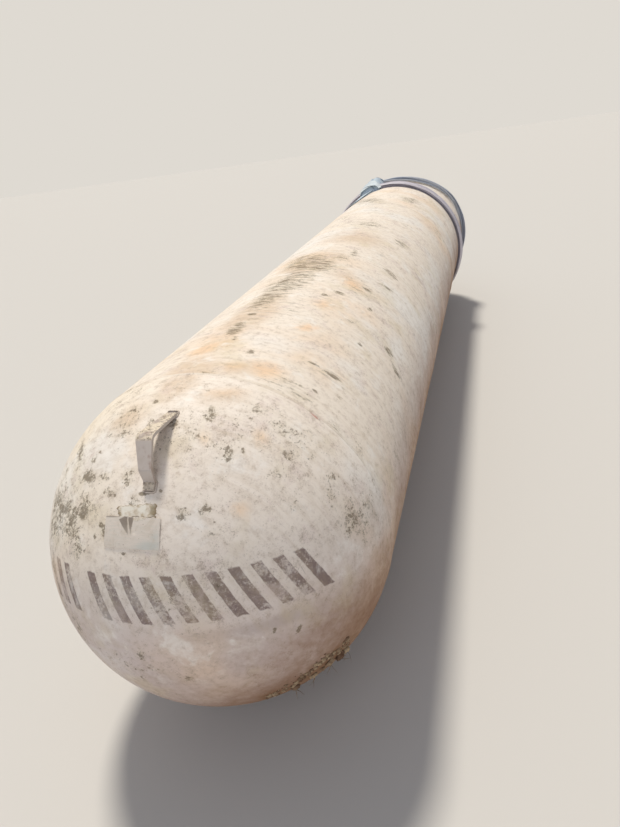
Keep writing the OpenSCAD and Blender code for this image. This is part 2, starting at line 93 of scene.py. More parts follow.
studio_light("key_light", (-1.9, 3.5, 9.2), 9, 2.8, srgb(255, 249, 238))
studio_light("fill_light", (1.0, -8.0, 4.5), 60, 0.58, srgb(238, 242, 255))
FLOOR_COLOUR = srgb(203, 200, 195)
BACKDROP_COLOUR = srgb(223, 218, 210)
world = bpy.data.worlds.new("studio")
scene.world = world
world.use_nodes = True
sky = world.node_tree
sky.nodes.clear()
ambient = sky.nodes.new("ShaderNodeBackground")
ambient.inputs["Color"].default_value = srgb(238, 241, 250)
ambient.inputs["Strength"].default_value = 0.36
backdrop = sky.nodes.new("ShaderNodeBackground")
backdrop.inputs["Color"].default_value = BACKDROP_COLOUR
path = sky.nodes.new("ShaderNodeLightPath")
chooser = sky.nodes.new("ShaderNodeMixShader")
world_out = sky.nodes.new("ShaderNodeOutputWorld")
# The camera, polished metal and glass see the backdrop, and the rest is lit by the softer light
shown = path.outputs["Is Camera Ray"]
for kind in ("Is Glossy Ray", "Is Transmission Ray"):
    either = sky.nodes.new("ShaderNodeMath")
    either.operation = "MAXIMUM"
    sky.links.new(shown, either.inputs[0])
    sky.links.new(path.outputs[kind], either.inputs[1])
    shown = either.outputs[0]
sky.links.new(shown, chooser.inputs[0])
sky.links.new(ambient.outputs[0], chooser.inputs[1])
sky.links.new(backdrop.outputs[0], chooser.inputs[2])
sky.links.new(chooser.outputs[0], world_out.inputs[0])
scene.view_settings.view_transform = "Standard"

FLOOR_SIZE = 60
floor_mesh = bpy.data.meshes.new("floor")
half = FLOOR_SIZE / 2
floor_mesh.from_pydata([(-half, -half, 0), (half, -half, 0), (half, half, 0), (-half, half, 0)],
                       [], [(0, 1, 2, 3)])
floor = link("floor", floor_mesh)
floor_paint = bpy.data.materials.new("floor_paint")
floor_paint.use_nodes = True
floor_shader = floor_paint.node_tree.nodes["Principled BSDF"]
floor_shader.inputs["Base Color"].default_value = FLOOR_COLOUR
floor_shader.inputs["Roughness"].default_value = 0.9
floor_mesh.materials.append(floor_paint)

# Shell courses
# Three plates of 8 mm steel, rolled and butt-welded end to end, and painted cream. The paint has
# mildew specks along the top, scuffs that run round the shell, rust and earth tints, and painted
# shade on its lower side.
low, high = (Vector(corner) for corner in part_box("shell_course_middle"))
SHELL_RADIUS = (high.x - low.x) / 2
AXIS_HEIGHT = (high.z + low.z) / 2
NEAR_SEAM = sum(corner[1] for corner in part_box("near_head_weld")) / 2
FAR_SEAM = sum(corner[1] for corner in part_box("far_head_weld")) / 2
AXIS = Vector((0, 0, AXIS_HEIGHT))


def feed(socket, value):
    """Links a socket to the one given, or sets it to the plain value. None leaves it as it is."""
    if isinstance(value, bpy.types.NodeSocket):
        socket.id_data.links.new(value, socket)
    elif value is not None:
        socket.default_value = value


def add(tree, kind, *values, **settings):
    """Adds a shader node and returns its outputs. Values fill its inputs in order, None skips."""
    made = tree.nodes.new("ShaderNode" + kind)
    for key, value in settings.items():
        setattr(made, key, value)
    for socket, value in zip(made.inputs, values):
        feed(socket, value)
    return made.outputs


def tree_of(values):
    """The node tree of the first socket among the values."""
    return next(value.id_data for value in values if isinstance(value, bpy.types.NodeSocket))


def add_to(kind, *values, **settings):
    """Adds a shader node beside the sockets among its values, in their tree."""
    return add(tree_of(values), kind, *values, **settings)


def maths(operation, *values):
    return add_to("Math", *values, operation=operation)[0]


def total(*values):
    """The sum of several values, each a socket or number, or a pair of a socket and its share."""
    result = 0.0
    for value in values:
        socket, share = value if isinstance(value, tuple) else (value, 1.0)
        result = maths("MULTIPLY_ADD", socket, share, result)
    return result


def product(first, *others):
    for other in others:
        first = maths("MULTIPLY", first, other)
    return first


def fade(value, start, end, low=0.0, high=1.0):
    """Goes smoothly from low to high as the value goes from start to end."""
    return add_to("MapRange", value, start, end, low, high, interpolation_type="SMOOTHSTEP")[0]


def between(value, low, high, soft):
    """1 between low and high and 0 outside, with both ends softened."""
    return product(fade(value, low - soft, low + soft), fade(value, high + soft, high - soft))


def mix(share, under, over):
    return add_to("Mix", share, None, None, None, None, None, under, over, data_type="RGBA")[2]


def cloud(vector, scale, detail=4.0, roughness=0.5, distortion=0.0):
    """Noise from 0 to 1, with scale of its lumps to a metre."""
    return add_to("TexNoise", vector, None, scale, detail, roughness,
                  None, None, None, distortion)[0]


def split(vector):
    return add_to("SeparateXYZ", vector)[:]


def stretch(vector, x, y, z):
    return add_to("VectorMath", vector, (x, y, z), operation="MULTIPLY")[0]


def shift(vector, by):
    return add_to("VectorMath", vector, by, operation="ADD")[0]


def wander(place, scale, *reaches, detail=6.0, roughness=0.7):
    """The place pushed about by noise, once for each reach in metres."""
    push = shift(add_to("TexNoise", place, None, scale, detail, roughness)["Color"],
                 (-0.5, -0.5, -0.5))
    return [shift(place, stretch(push, reach, reach, reach)) for reach in reaches]


def start_group(name, inputs):
    """A new shader group. Its inputs are given as (label, kind), and it puts out a colour, a
    roughness and a height. Returns it, what it is given, and what it puts out."""
    group = bpy.data.node_groups.new(name, "ShaderNodeTree")
    outputs = (("Color", "Color"), ("Roughness", "Float"), ("Height", "Float"))
    for way, sockets in (("INPUT", inputs), ("OUTPUT", outputs)):
        for label, kind in sockets:
            group.interface.new_socket(label, in_out=way, socket_type="NodeSocket" + kind)
    start, end = group.nodes.new("NodeGroupInput"), group.nodes.new("NodeGroupOutput")
    return group, start.outputs, end.inputs


def use(group, **values):
    """Places a group in a material, with its inputs named in lower case. Returns its outputs."""
    made = tree_of(values.values()).nodes.new("ShaderNodeGroup")
    made.node_tree = group
    for socket in made.inputs:
        feed(socket, values[socket.name.lower()])
    return made.outputs


def start_material(name, metallic=0.0):
    """A new material. Returns it, and the place on the object in metres."""
    made = bpy.data.materials.new(name)
    made.use_nodes = True
    feed(made.node_tree.nodes["Principled BSDF"].inputs["Metallic"], metallic)
    return made, add(made.node_tree, "TexCoord")["Object"]


def finish_surface(colour, roughness, height, relief=0.001, strength=0.5, gloss=0.5):
    """Feeds the material's shader. The height runs from 0 to 1 over the relief in metres."""
    shader = colour.id_data.nodes["Principled BSDF"].inputs
    feed(shader["Base Color"], colour)
    feed(shader["Roughness"], roughness)
    feed(shader["Specular IOR Level"], gloss)
    feed(shader["Normal"], add_to("Bump", strength, relief, None, height)[0])


def dress(material, *names):
    for name in names:
        nodes[name].data.materials.clear()
        nodes[name].data.materials.append(material)


def seen_at(x, y):
    """The place on the tank, and its outward direction, that the photograph shows at a pixel."""
    ray = (camera_forward * PHOTO_FOCAL + camera_right * (x - PHOTO_W / 2)
           + camera_up * (PHOTO_H / 2 - y)).normalized()
    for centre, flat in ((AXIS, 0.0), (AXIS + Vector((0, NEAR_SEAM, 0)), 1.0)):
        # The shell is met with the lengthwise direction left out, and the dome with it
        weight = Vector((1, flat, 1))
        start = (camera_place - centre) * weight
        run = ray * weight
        a, b, c = run.dot(run), start.dot(run), start.dot(start) - SHELL_RADIUS ** 2
        if b * b < a * c:
            continue
        point = camera_place + ray * (-b - math.sqrt(b * b - a * c)) / a
        if (point.y > NEAR_SEAM) != bool(flat):
            return point, ((point - centre) * weight).normalized()
    return None


# A spot reaches this far in and out from the surface, in metres, so it stays even across its width
SPOT_DEPTH = 0.5


def spots(place, seen):
    """A mask that is highest at the middle of each spot. A spot is read off the photograph: its
    middle, its half length and half width, all in pixels, its tilt in degrees, its strength."""
    mask = 0.0
    for x, y, length, width, tilt, strength in seen.values():
        middle, outward = seen_at(x, y)
        along = Vector((math.cos(math.radians(tilt)), -math.sin(math.radians(tilt))))
        beside = Vector((-along.y, along.x))
        first, second = (
            (seen_at(x + step.x, y + step.y) or seen_at(x - step.x, y - step.y))[0] - middle
            for step in (along, beside))
        first = (first - outward * first.dot(outward)) * length
        reach = abs(second.dot(outward.cross(first).normalized())) * width
        second = outward.cross(first).normalized()
        turned = Matrix((first.normalized(), second, outward)).transposed().to_euler()
        local = add_to("Mapping", place, middle, turned, (first.length, reach, SPOT_DEPTH),
                       vector_type="TEXTURE")[0]
        distance = add_to("VectorMath", local, operation="LENGTH")[1]
        mask = maths("MAXIMUM", mask, maths("MULTIPLY_ADD", distance, -strength, strength))
    return mask


# The weathering that all the cream paint shares. Round is the place with its first number running
# round the tank and its second along it, and Fleck is the place drawn out as the specks are.
# Mildew, Scuff, Rust and Earth are masks from 0 to 1.
WARM_PATCH, CHALKED_PATCH = srgb(238, 208, 176), srgb(240, 238, 234)
OLIVE_FILM = srgb(206, 190, 150)
ROSY_SMUDGE, WASHED_SMUDGE = srgb(216, 198, 190), srgb(246, 241, 234)
MOTTLE_BROWN, STREAK_TAN, DUST_GREY = srgb(178, 160, 140), srgb(188, 168, 142), srgb(138, 124, 106)
MILDEW_FILM, MILDEW_DARK, MILDEW_PALE = srgb(192, 180, 148), srgb(92, 82, 70), srgb(132, 118, 98)
SCUFF_GREY, RUST_BROWN, EARTH_BROWN = srgb(104, 94, 88), srgb(156, 96, 58), srgb(128, 92, 66)
weathering, given, made = start_group("weathering", (
    ("Place", "Vector"), ("Round", "Vector"), ("Fleck", "Vector"), ("Paint", "Color"),
    ("Mildew", "Float"), ("Scuff", "Float"), ("Rust", "Float"), ("Earth", "Float")))
place = given["Place"]
elsewhere = shift(place, (3.1, 7.7, 1.3))
tone = cloud(place, 1.7, 3)
paleness = cloud(elsewhere, 2.6, 3)
olive = cloud(elsewhere, 6.5, 5, 0.6)
smudge = cloud(place, 10, 6, 0.66, 0.3)
mottle = cloud(place, 46, 7, 0.72)
grain = cloud(given["Fleck"], 88, 6, 0.80, 0.4)
dots = cloud(elsewhere, 310, 4, 0.7)
lines = cloud(stretch(given["Round"], 4.5, 52, 1), 1.0, 8, 0.70, 0.4)
hairs = cloud(stretch(given["Round"], 7, 170, 1), 1.0, 4, 0.6, 0.3)
strokes = cloud(stretch(given["Round"], 13, 92, 1), 1.0, 4, 0.62, 0.5)
flakes = cloud(elsewhere, 21, 7, 0.75)
peel = cloud(place, 420, 2)
# Broad patches first. The pale ones leave out the paint that earth lies on
clean = fade(given["Earth"], 0.0, 0.22, 1, 0)
colour = mix(fade(tone, 0.50, 0.66, 0, 0.45), given["Paint"], WARM_PATCH)
colour = mix(product(fade(paleness, 0.50, 0.64, 0, 0.55), clean), colour, CHALKED_PATCH)
colour = mix(fade(olive, 0.52, 0.70, 0, 0.30), colour, OLIVE_FILM)
colour = mix(fade(smudge, 0.53, 0.70, 0, 0.50), colour, ROSY_SMUDGE)
colour = mix(product(fade(smudge, 0.46, 0.30, 0, 0.60), clean), colour, WASHED_SMUDGE)
colour = mix(fade(mottle, 0.45, 0.72, 0, 0.34), colour, MOTTLE_BROWN)
# Mildew as a film, a thin sprinkle everywhere, and dense specks where the mask is high
speck = fade(total(grain, (dots, 0.40), (given["Mildew"], 0.25)), 0.880, 0.975)
sprinkle = fade(total(dots, (mottle, 0.55), (smudge, 0.45)), 1.09, 1.19)
colour = mix(fade(given["Mildew"], 0.2, 1.3, 0, 0.32), colour, MILDEW_FILM)
colour = mix(product(sprinkle, 0.45), colour, DUST_GREY)
colour = mix(product(speck, 0.78), colour, mix(fade(dots, 0.40, 0.65), MILDEW_DARK, MILDEW_PALE))
# Lines and scuffs that run round the tank
scuff = fade(total(strokes, (given["Scuff"], 0.22), (dots, 0.30)), 0.92, 1.00)
hair = fade(total(hairs, (given["Scuff"], 0.18)), 0.67, 0.74, 0, 0.6)
scuff = maths("MAXIMUM", scuff, hair)
colour = mix(fade(lines, 0.44, 0.74, 0, 0.28), colour, STREAK_TAN)
colour = mix(product(scuff, 0.60), colour, SCUFF_GREY)
rust = fade(total(flakes, (given["Rust"], 0.25)), 0.70, 0.80)
earth = fade(total(given["Earth"], (mottle, 0.5)), 0.20, 1.20)
colour = mix(product(rust, 0.6), colour, RUST_BROWN)
colour = mix(product(earth, 0.85), colour, EARTH_BROWN)
feed(made["Color"], colour)
feed(made["Roughness"], total((speck, 0.28), (scuff, 0.15), (earth, 0.30), (mottle, 0.22), 0.50))
feed(made["Height"], total((peel, 0.25), (mottle, 0.25), (grain, 0.5)))


def round_the_tank(place):
    """The place unrolled: the distance round the tank from its top, and the distance along it."""
    x, y, z = split(place)
    angle = maths("ARCTAN2", x, maths("SUBTRACT", z, AXIS_HEIGHT))
    return add_to("CombineXYZ", maths("MULTIPLY", angle, SHELL_RADIUS), y, 0.0)[0]


# The paint low on the tank: a grey of painted shade, and a brown of earth and painted shade
LOWER_SHADE_GREY, LOWER_EARTH_AND_SHADE = srgb(202, 187, 183), srgb(176, 146, 126)


def lower_dirt_and_shade(base, place):
    """Greys and browns the paint towards the underside, more on the right, in ragged patches. The
    grey is painted shade, and the brown is earth together with painted shade. Returns the colour,
    and the mask of the earth and painted shade that lies on it."""
    x, _, z = split(place)
    leaning = total(z, (x, -0.45), (cloud(place, 4.5, 6, 0.66), 0.40), -0.20 - AXIS_HEIGHT)
    # Painted shade greys the paint low down, and earth with painted shade browns it lower on the
    # right
    base = mix(fade(z, AXIS_HEIGHT + 0.26, AXIS_HEIGHT - 0.05, 0, 0.9), base, LOWER_SHADE_GREY)
    base = mix(fade(leaning, -0.02, -0.46, 0, 0.85), base, LOWER_EARTH_AND_SHADE)
    return base, fade(leaning, -0.02, -0.56)


# Old paint that has chalked shines less than new paint, which is 0.5
CHALKY = 0.3
PAINT_RELIEF = 0.0006
# Spots of mildew and dirt, read off the photograph as spots() says
SHELL_MILDEW = {
    "crest_low": (247, 322, 30, 10, 40, 0.7), "crest_middle": (268, 298, 36, 15, 40, 1.1),
    "crest_high": (290, 282, 36, 19, 35, 1.4), "crest_strokes": (308, 262, 38, 15, 12, 1.5),
    "crest_top": (302, 266, 16, 8, 20, 1.5), "crest_right": (340, 258, 40, 10, 0, 0.8),
    "crest_loose": (290, 310, 34, 12, 10, 0.6), "near_crest": (200, 376, 34, 12, 25, 0.9),
    "near_sparse": (262, 352, 40, 14, 0, 0.55), "olive_cluster": (253, 351, 10, 7, -10, 1.1),
    "side_cluster": (350, 322, 10, 8, -45, 0.9), "rust_dark": (369, 290, 10, 6, -50, 1.1),
    "high_stroke": (352, 254, 12, 7, 45, 1.0), "arc": (327, 373, 30, 7, -33, 0.9),
    "arc_below": (340, 398, 14, 9, -40, 0.7), "seam_streak": (335, 430, 20, 9, -40, 0.9),
    "far_top": (372, 200, 30, 7, -5, 1.0), "far_middle": (368, 224, 34, 8, 0, 0.9),
    "far_brown": (410, 200, 16, 7, -25, 1.1), "far_side": (402, 244, 22, 8, -30, 0.9),
}
SHELL_STAINS = {
    "oval": (235.5, 328.5, 13, 8.5, 8, 2.0), "oval_stem": (234, 338, 5, 3, 0, 1.6),
    "black_line": (340, 293, 10, 2.0, -18, 1.9), "short_line": (324, 294.5, 5, 2.2, -20, 1.7),
    "wedge": (391, 274, 13, 3.4, -47, 1.9), "long_line": (386, 287, 16, 2.0, -32, 1.7),
    "dark_dot": (359.5, 344, 4, 3, -25, 1.8), "arc_core": (334, 377, 14, 2.8, -37, 2.0),
    "arc_thin": (313, 364, 12, 2.2, -18, 1.6), "arc_end": (344, 387, 7, 2.8, -55, 1.8),
    "clump": (302, 267, 10, 5, 20, 1.9), "right_wedge": (389, 352, 10, 3.2, -48, 1.9),
    "right_line": (396, 372, 14, 2.2, -65, 1.6), "stroke_low": (315, 392, 6, 2.4, -50, 1.7),
    "dot_low": (301, 386.5, 4, 2.2, -15, 1.6), "dot_right": (370.5, 310, 4, 2.4, -45, 1.7),
    "stroke_near": (272, 395.5, 9, 2.0, -18, 1.5), "stroke_left": (252, 314, 7, 2.2, 10, 1.7),
}
SHELL_SCUFFS = {
    "violet_scuff": (381, 255, 12, 5, -22, 1.1), "short_scuff": (400, 244, 7, 4, -25, 1.1),
    "ring_scuff": (350, 321, 9, 6, -50, 0.8), "right_scuff": (389, 352, 12, 7, -50, 1.0),
    "right_lines": (399, 376, 18, 6, -66, 1.0), "far_lines": (360, 200, 34, 12, 0, 1.0),
    "far_lines_low": (350, 222, 26, 12, 10, 0.9), "middle_lines": (300, 300, 46, 30, 30, 0.7),
    "arc": (330, 376, 24, 8, -36, 0.9), "near_lines": (262, 380, 34, 12, 4, 0.8),
    "crest_low": (262, 302, 40, 16, 42, 0.9), "crest_high": (300, 272, 40, 16, 20, 1.0),
}
SHELL_TINTS = {
    "yellow_far": (352, 284, 20, 9, -15, 1.1), "peach_high": (325, 305, 14, 10, 0, 0.8),
    "pink": (309, 327, 16, 6, 0, 1.0), "rust_near": (206, 349, 30, 6, 20, 1.5),
    "peach_near": (196, 386, 18, 22, 0, 1.2), "peach_seam": (266, 370, 30, 16, 0, 1.1),
    "peach_low": (232, 366, 22, 9, 0, 0.8), "far_rust": (404, 203, 18, 7, -30, 0.5),
}
# Dust and old growth tan the paint along the top
SHELL_TANS = {
    "crest_near": (188, 372, 44, 22, 38, 1.5), "crest_middle": (248, 318, 64, 20, 42, 1.4),
    "crest_far": (312, 262, 44, 16, 28, 1.3), "top_far": (352, 236, 40, 14, 5, 1.2),
    "seam": (240, 368, 46, 14, 10, 0.9), "middle": (345, 275, 34, 14, -10, 0.7),
}
shell_paint, place = start_material("shell_paint")
CREAM, PEACH, TAN = srgb(239, 228, 214), srgb(242, 206, 168), srgb(206, 178, 148)
unrolled = round_the_tank(place)
wandering, near_place = wander(place, 7.0, 0.10, 0.035)
fleck = stretch(unrolled, 0.24, 1, 1)
broken = cloud(fleck, 42, 5, 0.72)
mildew = maths("MAXIMUM", fade(cloud(place, 3.1, 6, 0.68), 0.48, 0.74, 0, 0.8),
               fade(spots(wandering, SHELL_MILDEW), 0, 1.0, 0, 0.95))
mildew = product(mildew, fade(broken, 0.28, 0.66, 0.45, 1.25))
stains = product(spots(near_place, SHELL_STAINS), fade(broken, 0.34, 0.60, 0.25, 1.3))
mildew = maths("MAXIMUM", mildew, maths("MINIMUM", stains, 1.1))
scuffs = maths("MAXIMUM", fade(cloud(place, 2.3, 3), 0.52, 0.7, 0, 0.6),
               spots(wandering, SHELL_SCUFFS))
tints = spots(wandering, SHELL_TINTS)
tanned = product(fade(spots(wandering, SHELL_TANS), 0, 1), fade(broken, 0.25, 0.6, 0.5, 1))
base = mix(fade(tints, 0, 1, 0, 0.80), CREAM, PEACH)
base = mix(product(tanned, 0.66), base, TAN)
base, earth = lower_dirt_and_shade(base, place)
weathered = use(weathering, place=place, round=unrolled, fleck=fleck, paint=base, mildew=mildew,
                scuff=scuffs, rust=product(tints, 0.35), earth=earth)
finish_surface(*weathered, PAINT_RELIEF, gloss=CHALKY)
dress(shell_paint, "shell_course_near", "shell_course_middle", "shell_course_far")

# Domed heads
# Two hemispheres of 6 mm plate, hot pressed and welded to the shell. The near one has lost most of
# a stencilled band of bars, and has more mildew to its left, and brown earth and painted shade
# below.
DOME_MILDEW = {
    "rim_top": (136, 410, 14, 9, 0, 0.9), "crown_left": (210, 414, 14, 11, 0, 1.0),
    "leg_right": (172, 420, 14, 9, -30, 1.2), "leg_left": (152, 424, 11, 7, 30, 1.2),
    "left_high": (80, 453, 10, 12, 50, 0.8), "left_middle": (88, 477, 12, 14, 0, 1.1),
    "left_line": (94, 459, 4, 6, 0, 1.0), "left_specks": (103, 477, 10, 9, 0, 0.9),
    "lug_left": (128, 478, 12, 22, 0, 0.95), "under_foot": (136, 502, 18, 12, 0, 0.8),
    "left_dots": (108, 494, 12, 8, 0, 1.0), "left_low": (84, 512, 24, 24, 0, 0.8),
    "left_side": (76, 546, 14, 16, 0, 0.9), "plate_side": (103, 530, 8, 10, 0, 1.1),
    "pair_left": (184, 513, 14, 13, 0, 1.0), "pair_right": (206, 510, 11, 10, 0, 1.15),
    "crown_right": (229, 452, 12, 15, 0, 1.15), "thin_high": (253, 420, 8, 5, 0, 1.0),
    "right_high": (288, 430, 16, 15, 0, 0.9), "right_low": (290, 455, 15, 14, 0, 1.0),
    "right_scatter": (276, 470, 26, 22, 0, 0.6), "grey_streaks": (294, 508, 14, 12, 0, 0.95),
    "middle_scatter": (215, 530, 26, 14, 0, 0.55), "lower_smudge": (138, 654, 12, 9, -20, 0.9),
    "low_speck": (190, 680, 12, 8, 0, 0.8),
}
# The spot at the lug's lower foot is dirt together with painted shadow at the foot's base
DOME_STAINS = {
    "foot": (145, 493, 11, 4, 8, 2.0), "foot_dot": (161, 491, 2.6, 2.6, 0, 2.2),
    "left_dot": (100, 452, 2.6, 2.6, 0, 1.7), "dots_core": (114, 496, 3, 3, 0, 1.8),
    "top_stroke": (155.5, 401, 5, 2.4, 25, 1.8), "plate_blob": (100.5, 525, 4, 4, -30, 2.0),
    "crown_blob": (244, 451, 3.5, 5, 0, 1.9), "crown_core": (230, 455, 4, 4, 0, 1.8),
    "pair_blob": (209, 510, 4, 6, 0, 1.9), "low_dot_left": (275, 631, 3.4, 4.6, 0, 1.8),
    "low_dot_right": (300, 629, 3.4, 7, 0, 1.8), "leak": (122.5, 553.5, 6, 2.4, -4, 2.0),
    "leak_drip": (120, 559, 1.6, 5, 0, 1.5), "plate_flake": (94, 537, 2.5, 5, 0, 1.9),
}
DOME_TINTS = {
    "peach_high": (263, 439, 12, 15, 0, 0.9), "peach_middle": (241, 508, 18, 12, 0, 0.9),
    "peach_left": (204, 437, 12, 12, 0, 0.7), "peach_top": (222, 392, 34, 8, 10, 0.8),
}
DOME_TANS = {
    "rim_high": (178, 384, 34, 16, 38, 1.4), "rim_low": (126, 420, 40, 14, 48, 1.2),
    "crown": (222, 396, 40, 14, 5, 1.0), "rim_side": (92, 470, 30, 14, 65, 0.8),
}
# The skin of clay that the dried mud below sits in
DOME_CLAY = {
    "low": (284, 693, 20, 4, 18, 1.3), "middle": (312, 673, 22, 5, 42, 1.6),
    "high": (340, 651, 18, 5, 44, 1.6), "end": (350, 640, 6, 6, 60, 1.2),
}
RED_SCRATCHES = {
    "scratch_long": (313, 414, 9, 1.2, -45, 2.0), "scratch_short": (309, 409, 6, 1.0, -35, 1.6),
}
# The band's middle line rises and falls with the angle round the dome, in radians
BAND_HEIGHT, BAND_SLOPE, BAND_BEND = 0.152, 0.0200, -0.0476
BAND_HALF = 0.057
# The band's ends and its gap, counted in bars from the middle of the dome
BAND_ENDS = (-6.5, 8.5)
BAND_GAP = (-3.5, -2.5)
BAR_PITCH = 0.056
BAR_WIDTH = 0.031
BAR_SLANT = 0.45
# How soft the ends of the band are, in bars, and how far the film lies below its middle line
BAR_SOFT = 0.05
FILM_DROP = 0.10
head_paint, place = start_material("head_paint")
HEAD_CREAM, HEAD_YELLOW, HEAD_PEACH = srgb(241, 230, 217), srgb(240, 227, 200), srgb(238, 204, 166)
BAR_PAINT, GREY_FILM = srgb(104, 82, 80), srgb(132, 112, 108)
SCRATCH_RED, CLAY = srgb(190, 88, 66), srgb(142, 112, 82)
unrolled = round_the_tank(place)
wandering, near_place = wander(place, 11.0, 0.07, 0.025)
broken = cloud(place, 38, 5, 0.72)
x, y, z = split(place)
left = fade(x, 0.10, -0.42)
upper = fade(z, AXIS_HEIGHT + 0.05, AXIS_HEIGHT + 0.35)
mildew = maths("MAXIMUM", fade(cloud(place, 4.1, 6, 0.68), 0.46, 0.72, 0, 0.8),
               fade(spots(wandering, DOME_MILDEW), 0, 0.95, 0, 0.9))
mildew = total(mildew, (product(left, upper), 0.30), 0.12)
mildew = product(mildew, fade(broken, 0.28, 0.66, 0.50, 1.25))
stains = product(spots(near_place, DOME_STAINS), fade(broken, 0.30, 0.62, 0.55, 1.3))
mildew = maths("MAXIMUM", mildew, maths("MINIMUM", stains, 1.2))
tints = spots(wandering, DOME_TINTS)
tanned = product(fade(spots(wandering, DOME_TANS), 0, 1), fade(broken, 0.25, 0.6, 0.5, 1))
base, earth = lower_dirt_and_shade(HEAD_CREAM, place)
base = mix(product(left, upper, 0.55), base, HEAD_YELLOW)
base = mix(fade(tints, 0, 1, 0, 0.6), base, HEAD_PEACH)
base = mix(product(tanned, 0.58), base, TAN)
# The band of bars, by the angle round the dome and the height above the band's middle line
around = maths("ARCTAN2", x, maths("SUBTRACT", NEAR_SEAM, y))
middle_line = maths("MULTIPLY_ADD", maths("MULTIPLY_ADD", around, BAND_BEND, BAND_SLOPE),
                    around, BAND_HEIGHT + AXIS_HEIGHT)
above = maths("SUBTRACT", z, middle_line)
ragged = cloud(place, 55, 4, 0.7)
count = product(total((around, 0.5), (above, BAR_SLANT), (ragged, 0.006)), 1 / BAR_PITCH)
in_band = fade(total(maths("ABSOLUTE", above), (ragged, 0.012)),
               BAND_HALF + 0.008, BAND_HALF + 0.004)
bar_edge = BAR_WIDTH / BAR_PITCH / 2
bar = fade(maths("PINGPONG", count, 0.5), bar_edge, bar_edge - 0.04)
worn = fade(total(cloud(place, 130, 5, 0.75), (cloud(place, 14, 3), 0.8)), 1.08, 0.86, 0.25, 0.85)
in_gap = between(count, *BAND_GAP, BAR_SOFT)
bars = product(in_band, between(count, *BAND_ENDS, BAR_SOFT), bar, worn,
               maths("SUBTRACT", 1.0, in_gap))
base = mix(bars, base, BAR_PAINT)
# A grey film below the band's right half
film = fade(maths("ABSOLUTE", total(above, FILM_DROP)), 0.030, 0.004, 0, 0.28)
film = product(film, fade(around, 0.05, 0.35), fade(around, 0.95, 0.7))
base = mix(film, base, GREY_FILM)
base = mix(fade(spots(place, RED_SCRATCHES), 0.1, 0.5, 0, 0.85), base, SCRATCH_RED)
clay = fade(total(spots(near_place, DOME_CLAY), (broken, 0.9)), 0.50, 0.85, 0, 0.90)
base = mix(clay, base, CLAY)
weathered = use(weathering, place=place, round=unrolled, fleck=place, paint=base, mildew=mildew,
                scuff=0.0, rust=product(tints, 0.3), earth=earth)
finish_surface(*weathered, PAINT_RELIEF, gloss=CHALKY)
dress(head_paint, "near_head", "far_head")

# Weld seams
# Four seams round the shell and one along each course, made by arc welding. Each bead is a row of
# overlapping ripples, painted over, with rust where the paint broke at its toes.
BEAD_HALF = 0.0064
BEAD_CAP = 0.0021
BEAD_ACROSS = 6
RIPPLE = 0.009
RIPPLE_RINGS = 3
# How deep a bead or fillet is sunk into the steel below it, and how far a seam's bead stops short
SUNK = 0.0004
SEAM_START, SEAM_SHORTER = 0.005, 0.014
weld_paint, place = start_material("weld_paint")
unrolled = round_the_tank(place)
base, earth = lower_dirt_and_shade(srgb(232, 220, 204), place)
grit = cloud(place, 90, 4, 0.7)
weathered = use(weathering, place=place, round=unrolled, fleck=place, paint=base, mildew=0.25,
                scuff=0.3, rust=product(grit, 0.45), earth=earth)
finish_surface(*weathered, PAINT_RELIEF, gloss=CHALKY)


def mesh_piece(name, vertices, faces, material, slot, smooth=True):
    """A new piece of the tank, in the row's frame."""
    mesh = bpy.data.meshes.new(name)
    mesh.from_pydata([tuple(v) for v in vertices], [], faces)
    mesh.materials.append(material)
    if smooth:
        mesh.polygons.foreach_set("use_smooth", [True] * len(mesh.polygons))
    mesh.update()
    piece = link(name, mesh)
    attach(piece, "root")
    return piece


def grid_faces(rows, columns, first=0, closed_rows=False, closed_columns=False):
    """The faces of a grid of points listed row by row, counted on from the first point."""
    return [tuple(first + r % rows * columns + c % columns
                  for r, c in ((row, column), (row + 1, column), (row + 1, column + 1),
                               (row, column + 1)))
            for row in range(rows - (not closed_rows))
            for column in range(columns - (not closed_columns))]


def on_shell(angle, y, high):
    """The place at an angle round the tank from its top, at y along it, high above the steel."""
    r = SHELL_RADIUS + high
    return Vector((r * math.sin(angle), y, AXIS_HEIGHT + r * math.cos(angle)))


def weld_bead(node, length, place_at, closed=False):
    """A rippled bead that replaces a node. place_at(s, a, h) gives the place at s along it, a
    across it and h high."""
    name = node + "_bead"
    dice = random.Random(name)
    count = max(2, round(length / RIPPLE)) * RIPPLE_RINGS
    phase, waver = dice.uniform(0, 6.28), dice.uniform(0.9, 1.3)
    vertices = []
    for i in range(count + (not closed)):
        s = length * i / count
        step = (i % RIPPLE_RINGS) / RIPPLE_RINGS
        swell = 1 + 0.10 * noise.noise((s * 22 * waver, phase, 0))
        drift = 0.12 * BEAD_HALF * noise.noise((s * 9, phase, 3))
        for k in range(BEAD_ACROSS + 1):
            t = 2 * k / BEAD_ACROSS - 1
            # Each ripple's front edge is an arc, so its middle runs ahead of its toes
            ahead = RIPPLE * 0.45 * (1 - t * t)
            high = BEAD_CAP * swell * (1 - t * t) * (0.72 + 0.28 * step) - SUNK
            vertices.append(place_at(s + ahead, BEAD_HALF * swell * t + drift, high))
    faces = grid_faces(count + (not closed), BEAD_ACROSS + 1, closed_rows=closed)
    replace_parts(mesh_piece(name, vertices, faces, weld_paint, "weld_paint"), node)


